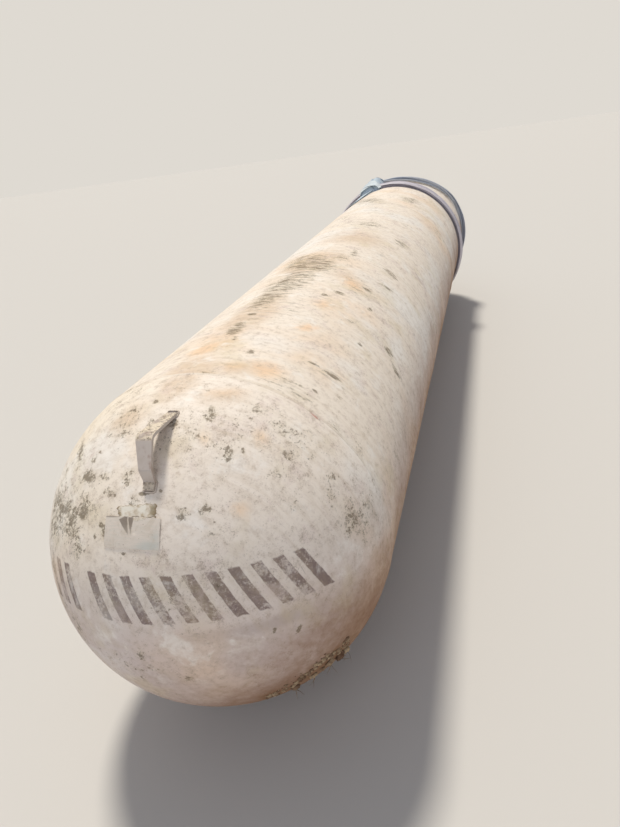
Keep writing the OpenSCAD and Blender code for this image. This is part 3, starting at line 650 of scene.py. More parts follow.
for node in ("near_head_weld", "near_course_weld", "far_course_weld", "far_head_weld"):
    middle_y = sum(corner[1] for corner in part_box(node)) / 2
    weld_bead(node, 2 * math.pi * SHELL_RADIUS,
              lambda s, a, h: on_shell(s / SHELL_RADIUS, middle_y + a, h), closed=True)
for node in ("near_seam_weld", "middle_seam_weld", "far_seam_weld"):
    low, high = (Vector(corner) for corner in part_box(node))
    angle = math.atan2((low.x + high.x) / 2, (low.z + high.z) / 2 - AXIS_HEIGHT)
    weld_bead(node, high.y - low.y - SEAM_SHORTER, lambda s, a, h: on_shell(
        angle + a / SHELL_RADIUS, low.y + SEAM_START + s, h))

# Saddles
# Each is a wear plate lapped round the shell's underside, a web cut to its curve, four ribs and a
# base plate, welded together by hand. They keep a thin coat of paint over rust, and earth below.
OLD_COAT, RUST_RUN, LOAM = srgb(150, 128, 104), srgb(132, 88, 58), srgb(118, 84, 60)
RUST_DARK, RUST_RED, RUST_ORANGE = srgb(84, 58, 46), srgb(138, 90, 62), srgb(168, 116, 78)
PEELED_EDGE = srgb(52, 36, 30)
# Bare is the share of the paint that has gone and Earth is a mask, both from 0 to 1
rusty, given, made = start_group("rusty_paint", (
    ("Place", "Vector"), ("Paint", "Color"), ("Bare", "Float"), ("Earth", "Float")))
place = given["Place"]
broad = cloud(place, 5.5, 5, 0.62)
flaking = cloud(place, 38, 6, 0.7, 0.4)
fine = cloud(place, 240, 4, 0.7)
runs = cloud(stretch(place, 60, 60, 4), 1.0, 4, 0.6)
colour = mix(fade(broad, 0.40, 0.68, 0, 0.5), given["Paint"], OLD_COAT)
colour = mix(fade(runs, 0.52, 0.74, 0, 0.55), colour, RUST_RUN)
gone = fade(total((broad, 0.55), (flaking, 0.75), (given["Bare"], 0.42)), 0.80, 0.90)
rust = mix(fade(flaking, 0.35, 0.65), RUST_DARK, RUST_RED)
rust = mix(fade(fine, 0.52, 0.72, 0, 0.7), rust, RUST_ORANGE)
colour = mix(gone, colour, rust)
colour = mix(product(gone, maths("SUBTRACT", 1.0, gone), 2.2), colour, PEELED_EDGE)
soil = fade(total(given["Earth"], (flaking, 0.6)), 0.65, 1.25)
colour = mix(product(soil, 0.85), colour, LOAM)
feed(made["Color"], colour)
feed(made["Roughness"], total((gone, 0.30), (soil, 0.15), (fine, 0.16), 0.38))
feed(made["Height"], total((gone, -0.35), (product(gone, fine), 0.45), (fine, 0.10), (soil, 0.25),
                           0.45))


def rusty_material(name, paint, bare, earth_top, earth_floor, metallic=0.0, relief=0.0008):
    """Painted steel that rusts. Earth lies thicker from the height earth_top to earth_floor."""
    made, place = start_material(name, metallic)
    earth = fade(split(place)[2], earth_top, earth_floor)
    finish_surface(*use(rusty, place=place, paint=paint, bare=bare, earth=earth), relief)
    return made


wear_plate_paint = rusty_material("wear_plate_paint", srgb(190, 172, 154), 0.28, 0.50, 0.12)
saddle_steel = rusty_material("saddle_steel", srgb(180, 166, 148), 0.40, 0.22, 0.02)
base_steel = rusty_material("base_steel", srgb(158, 142, 124), 0.60, 0.03, 0.0)
fillet_steel = rusty_material("fillet_steel", srgb(168, 152, 134), 0.52, 0.20, 0.02)
dress(wear_plate_paint, "near_saddle_wear_plate", "far_saddle_wear_plate")
dress(saddle_steel, "near_saddle_web", "near_saddle_ribs", "far_saddle_web", "far_saddle_ribs")
dress(base_steel, "near_saddle_base", "far_saddle_base")

# A fillet's leg, the length of a ripple, and the share of the leg that is left at its two ends
FILLET = 0.0055
FILLET_PITCH = 0.009
FILLET_END = 0.55
FILLET_RINGS = 3
FILLET_ACROSS = 5
FILLET_SUNK = 0.0003


def fillet_piece(name, runs, material, slot, leg=FILLET):
    """Rippled fillets as one piece. A run is a function that gives the corner's point at s and
    the unit directions of its two walls, and the run's length."""
    dice = random.Random(name)
    vertices, faces = [], []
    for corner_at, length in runs:
        first = len(vertices)
        count = max(2, round(length / FILLET_PITCH)) * FILLET_RINGS
        phase = dice.uniform(0, 50)
        for i in range(count + 1):
            s = length * i / count
            corner, one, two = corner_at(s)
            step = (i % FILLET_RINGS) / FILLET_RINGS
            grown = leg * (0.92 + 0.14 * noise.noise((s * 30, phase, 0))) * (0.90 + 0.10 * step)
            if i in (0, count):
                grown *= FILLET_END
            for k in range(FILLET_ACROSS + 1):
                t = k / FILLET_ACROSS
                bulge = 0.16 * math.sin(math.pi * t) * (0.7 + 0.3 * step)
                vertices.append(corner + one * grown * (1 - t + bulge) + two * grown * (t + bulge))
            vertices.append(corner - (one + two) * FILLET_SUNK)
        ring = FILLET_ACROSS + 2
        faces += grid_faces(count + 1, ring, first, closed_columns=True)
        faces.append(tuple(first + k for k in range(ring)))
        faces.append(tuple(first + count * ring + k for k in reversed(range(ring))))
    mesh_piece(name, vertices, faces, material, slot)


def straight(start, end, one, two):
    """Along a straight corner between two walls."""
    start, end = Vector(start), Vector(end)
    one, two = Vector(one).normalized(), Vector(two).normalized()
    return lambda s: (start.lerp(end, s / (end - start).length), one, two), (end - start).length


def hoop(radius, y, angle, span, y_side):
    """Along a curve round the tank: one wall runs along Y to y_side, the other goes outwards."""
    def points_of(s):
        turned = angle + s / radius
        outward = Vector((math.sin(turned), 0, math.cos(turned)))
        return AXIS + outward * radius + Vector((0, y, 0)), Vector((0, y_side, 0)), outward
    return points_of, radius * span


def rounded_walk(half_a, half_b, corner):
    """Walks round a rectangle with rounded corners. Gives at(s), the place and the outward
    direction in the flat, and the whole length."""
    bend = corner * math.pi / 2
    sides = (2 * (half_a - corner), 2 * (half_b - corner)) * 2
    length = sum(sides) + 4 * bend

    def at(s):
        s %= length
        along, outward, middle = Vector((1, 0)), Vector((0, -1)), Vector((0, -half_b))
        for turn, side in enumerate(sides):
            if s < side:
                return middle + along * (s - side / 2), outward
            s -= side
            if s < bend:
                centre = middle + along * side / 2 - outward * corner
                direction = outward * math.cos(s / corner) + along * math.sin(s / corner)
                return centre + direction * corner, direction
            s -= bend
            along, outward = Vector((-along.y, along.x)), Vector((-outward.y, outward.x))
            middle = outward * (half_a if turn % 2 == 0 else half_b)
        return middle, outward
    return at, length


WEAR_REACH = math.radians(62)
WEAR_CORNER = 0.030
WEB_REACH = math.radians(54.6)
RIB_PLACES = (-0.235, -0.090, 0.090, 0.235)
RIB_TOP_HALF, RIB_FOOT_HALF = 0.055, 0.077
# Fillets stop this far short of a corner, of a rib's outer end, and of the base plate's end
CLEAR = 0.007
RIB_CLEAR = 0.003
BASE_CLEAR = 0.012
# Corners of plates that lie on the tank stand this far off it
OFF_SHELL = 0.0002


def wear_edge(y_middle, half_width):
    """The corner between the wear plate's edge and the shell, walked all the way round."""
    at, length = rounded_walk(SHELL_RADIUS * WEAR_REACH, half_width, WEAR_CORNER)

    def points_of(s):
        flat, outward = at(s)
        turned = flat.x / SHELL_RADIUS
        radial = Vector((math.sin(turned), 0, -math.cos(turned)))
        across = Vector((math.cos(turned), 0, math.sin(turned)))
        point = AXIS + radial * (SHELL_RADIUS + OFF_SHELL) + Vector((0, y_middle + flat.y, 0))
        return point, across * outward.x + Vector((0, outward.y, 0)), radial
    return points_of, length


for end in ("near", "far"):
    plate_low, plate_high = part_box(end + "_saddle_wear_plate")
    web_low, web_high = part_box(end + "_saddle_web")
    base_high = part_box(end + "_saddle_base")[1]
    base_top, foot = base_high[2], base_high[0] - BASE_CLEAR
    rib_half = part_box(end + "_saddle_ribs")[1][0] - RIB_PLACES[-1]
    saddle_y = (plate_low[1] + plate_high[1]) / 2
    web_half = (web_high[1] - web_low[1]) / 2
    plate_radius = AXIS_HEIGHT - plate_low[2]
    fillet_piece(end + "_wear_plate_fillet",
                 [wear_edge(saddle_y, (plate_high[1] - plate_low[1]) / 2)],
                 wear_plate_paint, "wear_plate_paint")
    runs = []
    stops = [-math.inf, *RIB_PLACES, math.inf]
    for side in (-1, 1):
        face = saddle_y + side * web_half
        for left, right in zip(stops, stops[1:]):
            # Between two ribs, or between a rib and the end of the web
            first = (-WEB_REACH if left == -math.inf
                     else math.asin((left + rib_half + CLEAR) / plate_radius))
            last = (WEB_REACH if right == math.inf
                    else math.asin((right - rib_half - CLEAR) / plate_radius))
            runs.append(hoop(plate_radius, face, math.pi - last, last - first, side))
            low = max(left + rib_half + CLEAR, -foot)
            high = min(right - rib_half - CLEAR, foot)
            runs.append(straight((low, face, base_top), (high, face, base_top),
                                 (0, 0, 1), (0, side, 0)))
        for x in RIB_PLACES:
            slope = math.asin(x / plate_radius)
            top = AXIS_HEIGHT - plate_radius * math.cos(slope)
            reach = RIB_FOOT_HALF + (RIB_TOP_HALF - RIB_FOOT_HALF) * top / AXIS_HEIGHT
            for hand in (-1, 1):
                wall = x + hand * rib_half
                roof = AXIS_HEIGHT - math.sqrt(plate_radius ** 2 - wall ** 2)
                near, far = face + side * CLEAR, saddle_y + side * (reach - RIB_CLEAR)
                foot_end = saddle_y + side * (RIB_FOOT_HALF - RIB_CLEAR)
                tangent = Vector((math.cos(slope), 0, math.sin(slope))) * hand
                runs.append(straight((wall, near, roof), (wall, far, roof), tangent, (0, 0, -1)))
                runs.append(straight((wall, near, base_top), (wall, foot_end, base_top),
                                     (hand, 0, 0), (0, 0, 1)))
                runs.append(straight((wall, face, base_top + CLEAR), (wall, face, roof - CLEAR),
                                     (hand, 0, 0), (0, side, 0)))
    fillet_piece(end + "_saddle_fillets", runs, fillet_steel, "saddle_steel")

# Earthing tab
# A square of bare steel with a bolt hole, welded on edge to the near saddle's web.
tab_steel = rusty_material("tab_steel", srgb(168, 164, 158), 0.30, 0.20, 0.0, metallic=0.6,
                           relief=0.0004)
dress(tab_steel, "earth_tab")
tab_low, tab_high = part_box("earth_tab")
TAB_LEG, TAB_CLEAR = 0.004, 0.002
fillet_piece("earth_tab_fillets", [
    straight((x, tab_high[1], tab_low[2] + TAB_CLEAR), (x, tab_high[1], tab_high[2] - TAB_CLEAR),
             (side, 0, 0), (0, -1, 0)) for x, side in ((tab_low[0], -1), (tab_high[0], 1))],
    fillet_steel, "tab_steel", TAB_LEG)

# Lifting lugs
# One flat bar bent into an eye and fillet-welded to the head at both feet. Its outer face is grey
# and worn, and pale dirt with mildew lies on its upper leg.
lug_steel, place = start_material("lug_steel")
LUG_PAINT, UNDERSIDE_SHADE = srgb(198, 187, 178), srgb(84, 62, 54)
CRUST_PALE, CRUST_DARK = srgb(224, 210, 188), srgb(122, 110, 92)
facing = split(add(lug_steel.node_tree, "NewGeometry")["Normal"])[2]
blotch = cloud(place, 26, 5, 0.68)
colour, roughness, height = use(
    rusty, place=place, paint=LUG_PAINT, bare=fade(facing, 0.30, 0.75, 0.05, 0.33),
    earth=total((fade(facing, 0.35, 0.8), 0.50), (blotch, 0.35)))
# Faces that look down are darkened to a rusty brown: painted shade under the bar
colour = mix(fade(facing, -0.25, -0.75, 0, 0.5), colour, UNDERSIDE_SHADE)
crust = mix(fade(cloud(place, 110, 6, 0.78), 0.48, 0.60), CRUST_PALE, CRUST_DARK)
colour = mix(product(fade(facing, 0.55, 0.80), fade(blotch, 0.36, 0.50), 0.9), colour, crust)
finish_surface(colour, roughness, height, 0.0008)
dress(lug_steel, "near_lug", "far_lug")
LUG_POLAR = math.radians(58)
LUG_X = 0.018
# The two feet on the head, as the middle and half sizes, to the right and towards the shell
LUG_TOE = (0.0080, -0.0975, 0.0152, 0.0128)
LUG_HEEL = (0.0091, 0.1035, 0.0142, 0.0088)
LUG_CORNER, LUG_LEG = 0.004, 0.0045


def lug_fillets(name, seam_y, hand):
    """The welds round both feet. Hand is -1 for the near head and 1 for the far one."""
    def on_head(x, y):
        polar = LUG_POLAR + math.asin(y / SHELL_RADIUS)
        flat = math.sqrt(SHELL_RADIUS ** 2 - (x + LUG_X) ** 2)
        normal = Vector(((x + LUG_X) / SHELL_RADIUS, hand * math.cos(polar) * flat / SHELL_RADIUS,
                         math.sin(polar) * flat / SHELL_RADIUS))
        return AXIS + Vector((0, seam_y, 0)) + normal * (SHELL_RADIUS + OFF_SHELL), normal

    def round_foot(x, y, half_x, half_y):
        at, length = rounded_walk(half_x, half_y, LUG_CORNER)

        def points_of(s):
            flat, direction = at(s)
            flat += Vector((x, y))
            point, normal = on_head(*flat)
            away = on_head(*(flat + direction / 100))[0] - point
            return point, (away - normal * away.dot(normal)).normalized(), normal
        return points_of, length

    fillet_piece(name, [round_foot(*LUG_TOE), round_foot(*LUG_HEEL)], lug_steel, "lug_steel",
                 LUG_LEG)


lug_fillets("near_lug_fillets", NEAR_SEAM, -1)
lug_fillets("far_lug_fillets", FAR_SEAM, 1)

# Data plate
# A thin plate of dull metal on the near head. Its print has weathered away. Dirty water has run
# down from its top edge, and the torn remains of an older label are left above it.
plate_metal, place = start_material("plate_metal", 0.05)
# Each run of dirt as the middle of its top, its tip, and half its width at the top, in pixels
PLATE_DRIPS = {"left": (123.6, 517.8, 128.6, 536, 4.6), "right": (131.2, 517.9, 130.9, 536, 2.6)}
# Painted shade: the plate's warped lower right corner and its right side are darkened to a blue
# grey
PLATE_PAINTED_SHADE = {"blue_corner": (148, 547, 22, 9, 8, 1.0), "blue_side": (155, 538, 8, 14, 0, 0.6)}
# Dark lines along the plate's edges: painted shadow along its right side and its foot, where it
# stands off the head, and dirt along its top left and at the leak under its foot
PLATE_EDGE_DIRT_AND_SHADOW = {
    "top_left": (112, 516.5, 11, 1.2, -2, 1.3), "right_side_shadow": (160.4, 533, 1.0, 20, 0, 1.2),
    "foot": (128, 551.4, 22, 1.2, -4, 1.3), "foot_dark": (122, 551.0, 7, 2.0, -4, 1.6),
}


def drip(place, x, y, tip_x, tip_y, half):
    """A run of dirt that narrows evenly to its tip."""
    start, outward = seen_at(x, y)
    down = seen_at(tip_x, tip_y)[0] - start
    reach = (seen_at(x + half, y)[0] - start).length
    side = outward.cross(down).normalized()
    turned = Matrix((down.normalized(), side, outward)).transposed().to_euler()
    along, beside, _ = split(add_to(
        "Mapping", place, start, turned, (down.length, reach, 1), vector_type="TEXTURE")[0])
    inside = maths("SUBTRACT", maths("SUBTRACT", 1.0, along), maths("ABSOLUTE", beside))
    return product(fade(inside, -0.06, 0.16), fade(along, -0.06, 0.0),
                   fade(along, 1.0, 0.2, 0.55, 1.0))


PLATE_METAL, PLATE_BRUSHED = srgb(224, 212, 200), srgb(214, 206, 194)
PLATE_SHADE_BLUE = srgb(184, 190, 184)
PLATE_STAIN, PLATE_SPECK = srgb(196, 182, 162), srgb(136, 122, 106)
PLATE_EDGE, DRIP_GREY = srgb(132, 118, 104), srgb(124, 112, 100)
brushed = cloud(stretch(place, 30, 400, 400), 1.0, 3, 0.6)
stain = cloud(place, 30, 6, 0.68, 0.6)
near_place, = wander(place, 60.0, 0.006, detail=4.0, roughness=0.6)
drips = maths("MAXIMUM", *(drip(near_place, *run) for run in PLATE_DRIPS.values()))
colour = mix(fade(brushed, 0.3, 0.7), PLATE_METAL, PLATE_BRUSHED)
colour = mix(fade(spots(near_place, PLATE_PAINTED_SHADE), 0.0, 0.8, 0, 0.6), colour, PLATE_SHADE_BLUE)
colour = mix(fade(stain, 0.45, 0.72, 0, 0.6), colour, PLATE_STAIN)
colour = mix(fade(cloud(place, 170, 4, 0.7), 0.62, 0.70, 0, 0.6), colour, PLATE_SPECK)
colour = mix(fade(spots(near_place, PLATE_EDGE_DIRT_AND_SHADOW), 0.1, 0.8, 0, 0.65), colour, PLATE_EDGE)
colour = mix(product(drips, fade(stain, 0.25, 0.60, 0.60, 0.85)), colour, DRIP_GREY)
finish_surface(colour, total((stain, 0.3), (drips, 0.1), 0.45), stain, 0.0003)
dress(plate_metal, "data_plate")

LABEL_SHADES = {"olive_end": (154, 511, 6, 9, 0, 1.3)}
LABEL_PAPER, LABEL_TAN, LABEL_PALE = srgb(224, 214, 198), srgb(190, 174, 148), srgb(232, 226, 212)
LABEL_OLIVE, LABEL_RIM = srgb(142, 128, 100), srgb(138, 120, 92)
# Rim is 0 at the torn edge of a patch and 1 well inside it
old_label, place = start_material("old_label")
rim = add(old_label.node_tree, "Attribute", attribute_name="rim")["Fac"]
crumb = cloud(place, 120, 5, 0.72)
colour = mix(fade(crumb, 0.38, 0.66), LABEL_PAPER, LABEL_TAN)
colour = mix(fade(cloud(place, 34, 3), 0.46, 0.60), colour, LABEL_PALE)
colour = mix(fade(spots(place, LABEL_SHADES), 0.1, 0.8, 0, 0.8), colour, LABEL_OLIVE)
colour = mix(fade(total(rim, (crumb, -0.9)), 0.10, -0.35, 0, 0.85), colour, LABEL_RIM)
finish_surface(colour, total((crumb, 0.3), 0.6), crumb, 0.0006, 0.8)


def skin(name, corners, lift, ragged, rows, columns):
    """A thin torn patch on the tank between four places of the photograph, in pixels."""
    phase = random.Random(name).uniform(0, 60)
    top_left, top_right, low_left, low_right = (Vector(c) for c in corners)
    vertices, rims = [], []
    for row in range(rows + 1):
        for column in range(columns + 1):
            u, v = column / columns, row / rows
            # The four edges are torn in by noise, and the middle keeps its place
            u2 = 0.5 + (u - 0.5) * (1 - ragged * (0.5 + noise.noise((v * 7, phase, 1))))
            v2 = 0.5 + (v - 0.5) * (1 - 2 * ragged * (0.5 + noise.noise((u * 11, phase, 5))))
            pixel = (top_left.lerp(top_right, u2)).lerp(low_left.lerp(low_right, u2), v2)
            point, outward = seen_at(*pixel)
            rim = min(u, 1 - u, v, 1 - v)
            wave = 0.5 + 0.5 * noise.noise((u * 14, v * 5, phase))
            high = -SUNK if rim == 0 else lift * (0.55 + 0.45 * wave)
            vertices.append(point + outward * high)
            rims.append(min(6 * rim, 1))
    faces = grid_faces(rows + 1, columns + 1)
    piece = mesh_piece(name, vertices, faces, old_label, "plate_metal")
    piece.data.attributes.new("rim", "FLOAT", "POINT").data.foreach_set("value", rims)


skin("old_label_strip", ((116, 505), (157.5, 502.5), (117, 518.5), (158, 518.5)), 0.0011, 0.14,
     18, 48)
skin("old_label_corner", ((131, 516.5), (148, 516.5), (133, 523), (146, 521)), 0.0026, 0.26,
     10, 20)

# Gauge opening
# A welded pad flange in the tip of the far head, with a rubber gasket and a blank steel cover on
# four low-headed socket screws, which are sunk into it.
flange_steel = rusty_material("flange_steel", srgb(196, 184, 168), 0.34, 0.2, 0.0)
screw_steel = rusty_material("screw_steel", srgb(120, 116, 110), 0.45, 0.2, 0.0, metallic=0.7,
                             relief=0.0003)
gasket_rubber, place = start_material("gasket_rubber")
dust = cloud(place, 60, 5, 0.7)
finish_surface(mix(fade(dust, 0.4, 0.7), srgb(30, 30, 30), srgb(84, 74, 64)),
               total((dust, 0.3), 0.6), dust, 0.0003)
dress(flange_steel, "gauge_flange", "gauge_cover")
dress(gasket_rubber, "gauge_gasket")

SCREW_PITCH = 0.057
SCREW_SUNK = 0.0082
SCREW_HEAD = 0.0086
SOCKET = 0.0040
SCREW_SIDES = 36
# Rings from the head's seat, over its rounded edge, and down into the socket, as the radius, the
# height, and whether the ring is a hexagon
SCREW_PROFILE = (
    (0.0055, -0.0060, False), (0.0055, 0.0, False), (SCREW_HEAD, 0.0, False),
    (SCREW_HEAD, 0.0058, False), (SCREW_HEAD - 0.0008, 0.0068, False),
    (SOCKET + 0.0006, 0.0068, True), (SOCKET, 0.0062, True), (SOCKET, 0.0030, True),
    (0.0005, 0.0022, False))
cover_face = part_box("gauge_cover")[1][1]
vertices, faces = [], []
for i in range(4):
    first, angle = len(vertices), math.radians(45 + 90 * i)
    middle = Vector((SCREW_PITCH * math.cos(angle), cover_face - SCREW_SUNK,
                     AXIS_HEIGHT + SCREW_PITCH * math.sin(angle)))
    turn = (Matrix.Rotation(-math.pi / 2, 3, "X")
            @ Matrix.Rotation(random.Random(i).uniform(0, 1), 3, "Z"))
    for radius, height, hexagon in SCREW_PROFILE:
        for k in range(SCREW_SIDES):
            a = 2 * math.pi * k / SCREW_SIDES
            r = radius
            if hexagon:
                r = radius / math.cos((a + math.pi / 6) % (math.pi / 3) - math.pi / 6)
            vertices.append(middle + turn @ Vector((r * math.cos(a), r * math.sin(a), height)))
    faces += grid_faces(len(SCREW_PROFILE), SCREW_SIDES, first, closed_columns=True)
    faces.append(tuple(reversed(range(first, first + SCREW_SIDES))))
    faces.append(tuple(range(len(vertices) - SCREW_SIDES, len(vertices))))
mesh_piece("cover_screws", vertices, faces, screw_steel, "flange_steel", smooth=False)

# Threaded couplings
# Forged steel half couplings, welded into the head and the shell's underside. Each is closed by a
# cast plug with a square head.
coupling_steel = rusty_material("coupling_steel", srgb(196, 182, 164), 0.38, 0.2, 0.05)
plug_iron = rusty_material("plug_iron", srgb(104, 96, 88), 0.45, 0.2, 0.05)
dress(coupling_steel, "relief_coupling", "outlet_coupling", "drain_coupling")
dress(plug_iron, "relief_plug", "outlet_plug", "drain_plug")
RELIEF_RADIUS, OUTLET_RADIUS, DRAIN_RADIUS = 0.030, 0.038, 0.022
FLANGE_LEG = 0.007


def ring_fillet(name, centre, axis, radius, domed, material, slot, leg=FILLET):
    """A fillet round a pipe that stands on a head, or on the shell if domed is 0."""
    one = axis.cross(Vector((0, 1, 0))).normalized() if abs(axis.y) < 0.9 else Vector((1, 0, 0))
    two = axis.cross(one)
    weight = Vector((1, domed, 1))

    def points_of(s):
        angle = s / radius
        away = one * math.cos(angle) + two * math.sin(angle)
        point = centre + axis * SHELL_RADIUS + away * radius
        # Sinks along the pipe to the curved plate
        for _ in range(4):
            gap = ((point - centre) * weight).length - SHELL_RADIUS
            point -= axis * gap
        normal = ((point - centre) * weight).normalized()
        return point, (away - normal * away.dot(normal)).normalized(), axis
    fillet_piece(name, [(points_of, 2 * math.pi * radius)], material, slot, leg)


far_centre = AXIS + Vector((0, FAR_SEAM, 0))
low, high = (Vector(corner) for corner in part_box("gauge_flange"))
ring_fillet("gauge_flange_fillet", far_centre, Vector((0, 1, 0)), (high.x - low.x) / 2, 1,
            flange_steel, "flange_steel", FLANGE_LEG)
low, high = (Vector(corner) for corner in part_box("relief_coupling"))
ring_fillet("relief_coupling_fillet", far_centre, ((low + high) / 2 - far_centre).normalized(),
            RELIEF_RADIUS, 1, coupling_steel, "coupling_steel")
for name, radius in (("outlet_coupling", OUTLET_RADIUS), ("drain_coupling", DRAIN_RADIUS)):
    low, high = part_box(name)
    centre = AXIS + Vector((0, (low[1] + high[1]) / 2, 0))
    ring_fillet(name + "_fillet", centre, Vector((0, 0, -1)), radius, 0, coupling_steel,
                "coupling_steel")

# Sling
# A lifting sling of woven polyester webbing, faded and dusty, tied round the far end. The inner
# loop lies flat round the shell, the outer one is bunched round the head, and both meet in a knot
# on the upper left, from which a frayed tail runs along the shell.
KNOT_MIDDLE, KNOT_HALF = math.radians(-18), math.radians(10)
inner_low, inner_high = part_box("sling_inner_loop")
knot_low, knot_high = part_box("sling_knot")
INNER_Y = (inner_low[1] + inner_high[1]) / 2
KNOT_Y, KNOT_LENGTH = knot_low[1], knot_high[1] - knot_low[1]
# The webbing's ribs run along it, and its stitches across. Weave is the place along and across it
RIB = 0.0048
STITCH = 0.0021
woven, given, made = start_group("webbing", (
    ("Weave", "Vector"), ("Place", "Vector"), ("Tone", "Float"), ("Dark", "Color"),
    ("Main", "Color"), ("Pale", "Color"), ("Dirt", "Float")))
along, across, _ = split(given["Weave"])
streaks = cloud(stretch(given["Weave"], 5, 130, 1), 1.0, 5, 0.65)
patches = cloud(given["Place"], 9, 5, 0.65)
fibres = cloud(stretch(given["Weave"], 300, 900, 1), 1.0, 4, 0.7)
ribs = fade(maths("PINGPONG", across, RIB / 2), 0, RIB / 2)
picks = maths("PINGPONG", total(along, (ribs, STITCH * 0.5)), STITCH / 2)
picks = fade(picks, 0, STITCH / 2)
share = total((given["Tone"], 1.0), (streaks, 0.9), (patches, 0.5), -0.7)
colour = mix(fade(share, 0.0, 0.5), given["Dark"], given["Main"])
colour = mix(fade(share, 0.5, 1.1), colour, given["Pale"])
# The grooves between the ribs are darkened: painted shade
colour = mix(product(maths("SUBTRACT", 1.0, ribs), 0.22), colour, given["Dark"])
colour = mix(fade(fibres, 0.35, 0.75, 0, 0.30), colour, given["Pale"])
soil = fade(total((patches, 0.8), (streaks, 0.3), given["Dirt"]), 0.62, 1.0)
colour = mix(product(soil, 0.65), colour, srgb(116, 100, 84))
feed(made["Color"], colour)
feed(made["Roughness"], total((fibres, 0.2), 0.68))
feed(made["Height"], total((ribs, 0.5), (picks, 0.3), (fibres, 0.25)))


def webbing_material(name, dark, main, pale, dirt):
    """Dusty webbing in three shades, with more dirt on the tank's underside."""
    made, place = start_material(name)
    weave = add(made.node_tree, "UVMap", uv_map="weave")[0]
    tone = add(made.node_tree, "Attribute", attribute_name="tone")["Fac"]
    under = fade(split(place)[2], AXIS_HEIGHT, AXIS_HEIGHT - 0.5, dirt, dirt + 0.4)
    look = use(woven, weave=weave, place=place, tone=tone, dark=dark, main=main, pale=pale,
               dirt=under)
    finish_surface(*look, 0.0010, 0.7)
    shader = made.node_tree.nodes["Principled BSDF"].inputs
    feed(shader["Sheen Weight"], 0.25)
    feed(shader["Sheen Roughness"], 0.5)
    return made


webbing_violet = webbing_material("webbing_violet", srgb(136, 128, 140), srgb(186, 180, 190),
                                  srgb(218, 213, 217), 0.06)
webbing_blue = webbing_material("webbing_blue", srgb(154, 163, 180), srgb(204, 211, 222),
                                srgb(230, 233, 235), 0.06)
webbing_pale = webbing_material("webbing_pale", srgb(146, 163, 184), srgb(190, 206, 216),
                                srgb(224, 232, 233), 0.0)
# Webbing never sinks lower than this over the steel
LOWEST = 0.0006


class Webbing:
    """Gathers strips of webbing that become one piece, in place of a node."""

    def __init__(self, name, material, slot):
        self.name, self.material, self.slot = name, material, slot
        self.vertices, self.faces, self.weave, self.tones = [], [], [], []
        self.dice = random.Random(name)

    def strip(self, length, place_at, shape_at, half, thick, tone, columns=10, pitch=0.012):
        """One strip along place_at(s, across, height). shape_at(s) gives its middle's place across
        and height, its roll, and how much its width is gathered in, from 0 to 1."""
        first = len(self.vertices)
        count = max(2, round(length / pitch))
        phase = self.dice.uniform(0, 90)
        for i in range(count + 1):
            s = length * i / count
            middle, lift, roll, gather = shape_at(s)
            for face in (1, -1):
                for k in range(columns + 1):
                    t = (2 * k / columns - 1) * face
                    wide = half * (1 - 0.45 * gather)
                    # Gathered webbing buckles into lengthwise folds, and its edge curls a little
                    twist = 5 * t + phase + 2 * noise.noise((s * 4, phase, 0))
                    fold = gather * half * 0.28 * math.sin(twist)
                    wave = thick * 0.5 * noise.noise((s * 9, t * 1.3, phase))
                    edge = thick * (0.5 if abs(t) < 1 else 0.15)
                    a = wide * t * (1 + 0.04 * noise.noise((s * 13, t, phase)))
                    h = fold + wave + face * edge
                    across = middle + a * math.cos(roll) - h * math.sin(roll)
                    high = lift + a * math.sin(roll) + h * math.cos(roll)
                    self.vertices.append(place_at(s, across, max(high, LOWEST)))
                    self.weave.append((s, a + half * 3 * face))
                    self.tones.append(tone + 0.25 * noise.noise((s * 3, phase, t)))
        ring = 2 * (columns + 1)
        self.faces += grid_faces(count + 1, ring, first, closed_columns=True)
        self.faces.append(tuple(first + k for k in reversed(range(ring))))
        self.faces.append(tuple(first + count * ring + k for k in range(ring)))

    def sheet(self, rows, columns, place_at, tone_at):
        """A grid over (u, v), each from 0 to 1. place_at gives a point, and tone_at its tone."""
        self.faces += grid_faces(rows + 1, columns + 1, len(self.vertices))
        for j in range(rows + 1):
            for i in range(columns + 1):
                u, v = i / columns, j / rows
                self.vertices.append(place_at(u, v))
                self.weave.append((v * KNOT_LENGTH, u * 0.2))
                self.tones.append(tone_at(u, v))

    def replace(self, node):
        piece = mesh_piece(self.name, self.vertices, self.faces, self.material, self.slot)
        mesh = piece.data
        layer = mesh.uv_layers.new(name="weave")
        for loop in mesh.loops:
            layer.data[loop.index].uv = self.weave[loop.vertex_index]
        mesh.attributes.new("tone", "FLOAT", "POINT").data.foreach_set("value", self.tones)
        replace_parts(piece, node)


# The loops' ends run this far under the knot
TUCK = 0.040
LOOP_LENGTH = 2 * (math.pi - KNOT_HALF) * SHELL_RADIUS + 2 * TUCK


def loop_angle(s):
    """The angle round the tank of a loop that starts under the knot's right side."""
    return KNOT_MIDDLE + KNOT_HALF + (s - TUCK) / SHELL_RADIUS


def round_shell(s, across, high):
    return on_shell(loop_angle(s), INNER_Y + across, high)


# The outer loop leaves the knot on the shell, and over its sweep it climbs this far past the seam
OUTER_PAST = 0.095
OUTER_SWEEP = math.radians(80)
OUTER_HALF = 0.038
outer_knot = KNOT_Y + KNOT_LENGTH - FAR_SEAM - OUTER_HALF - 0.010


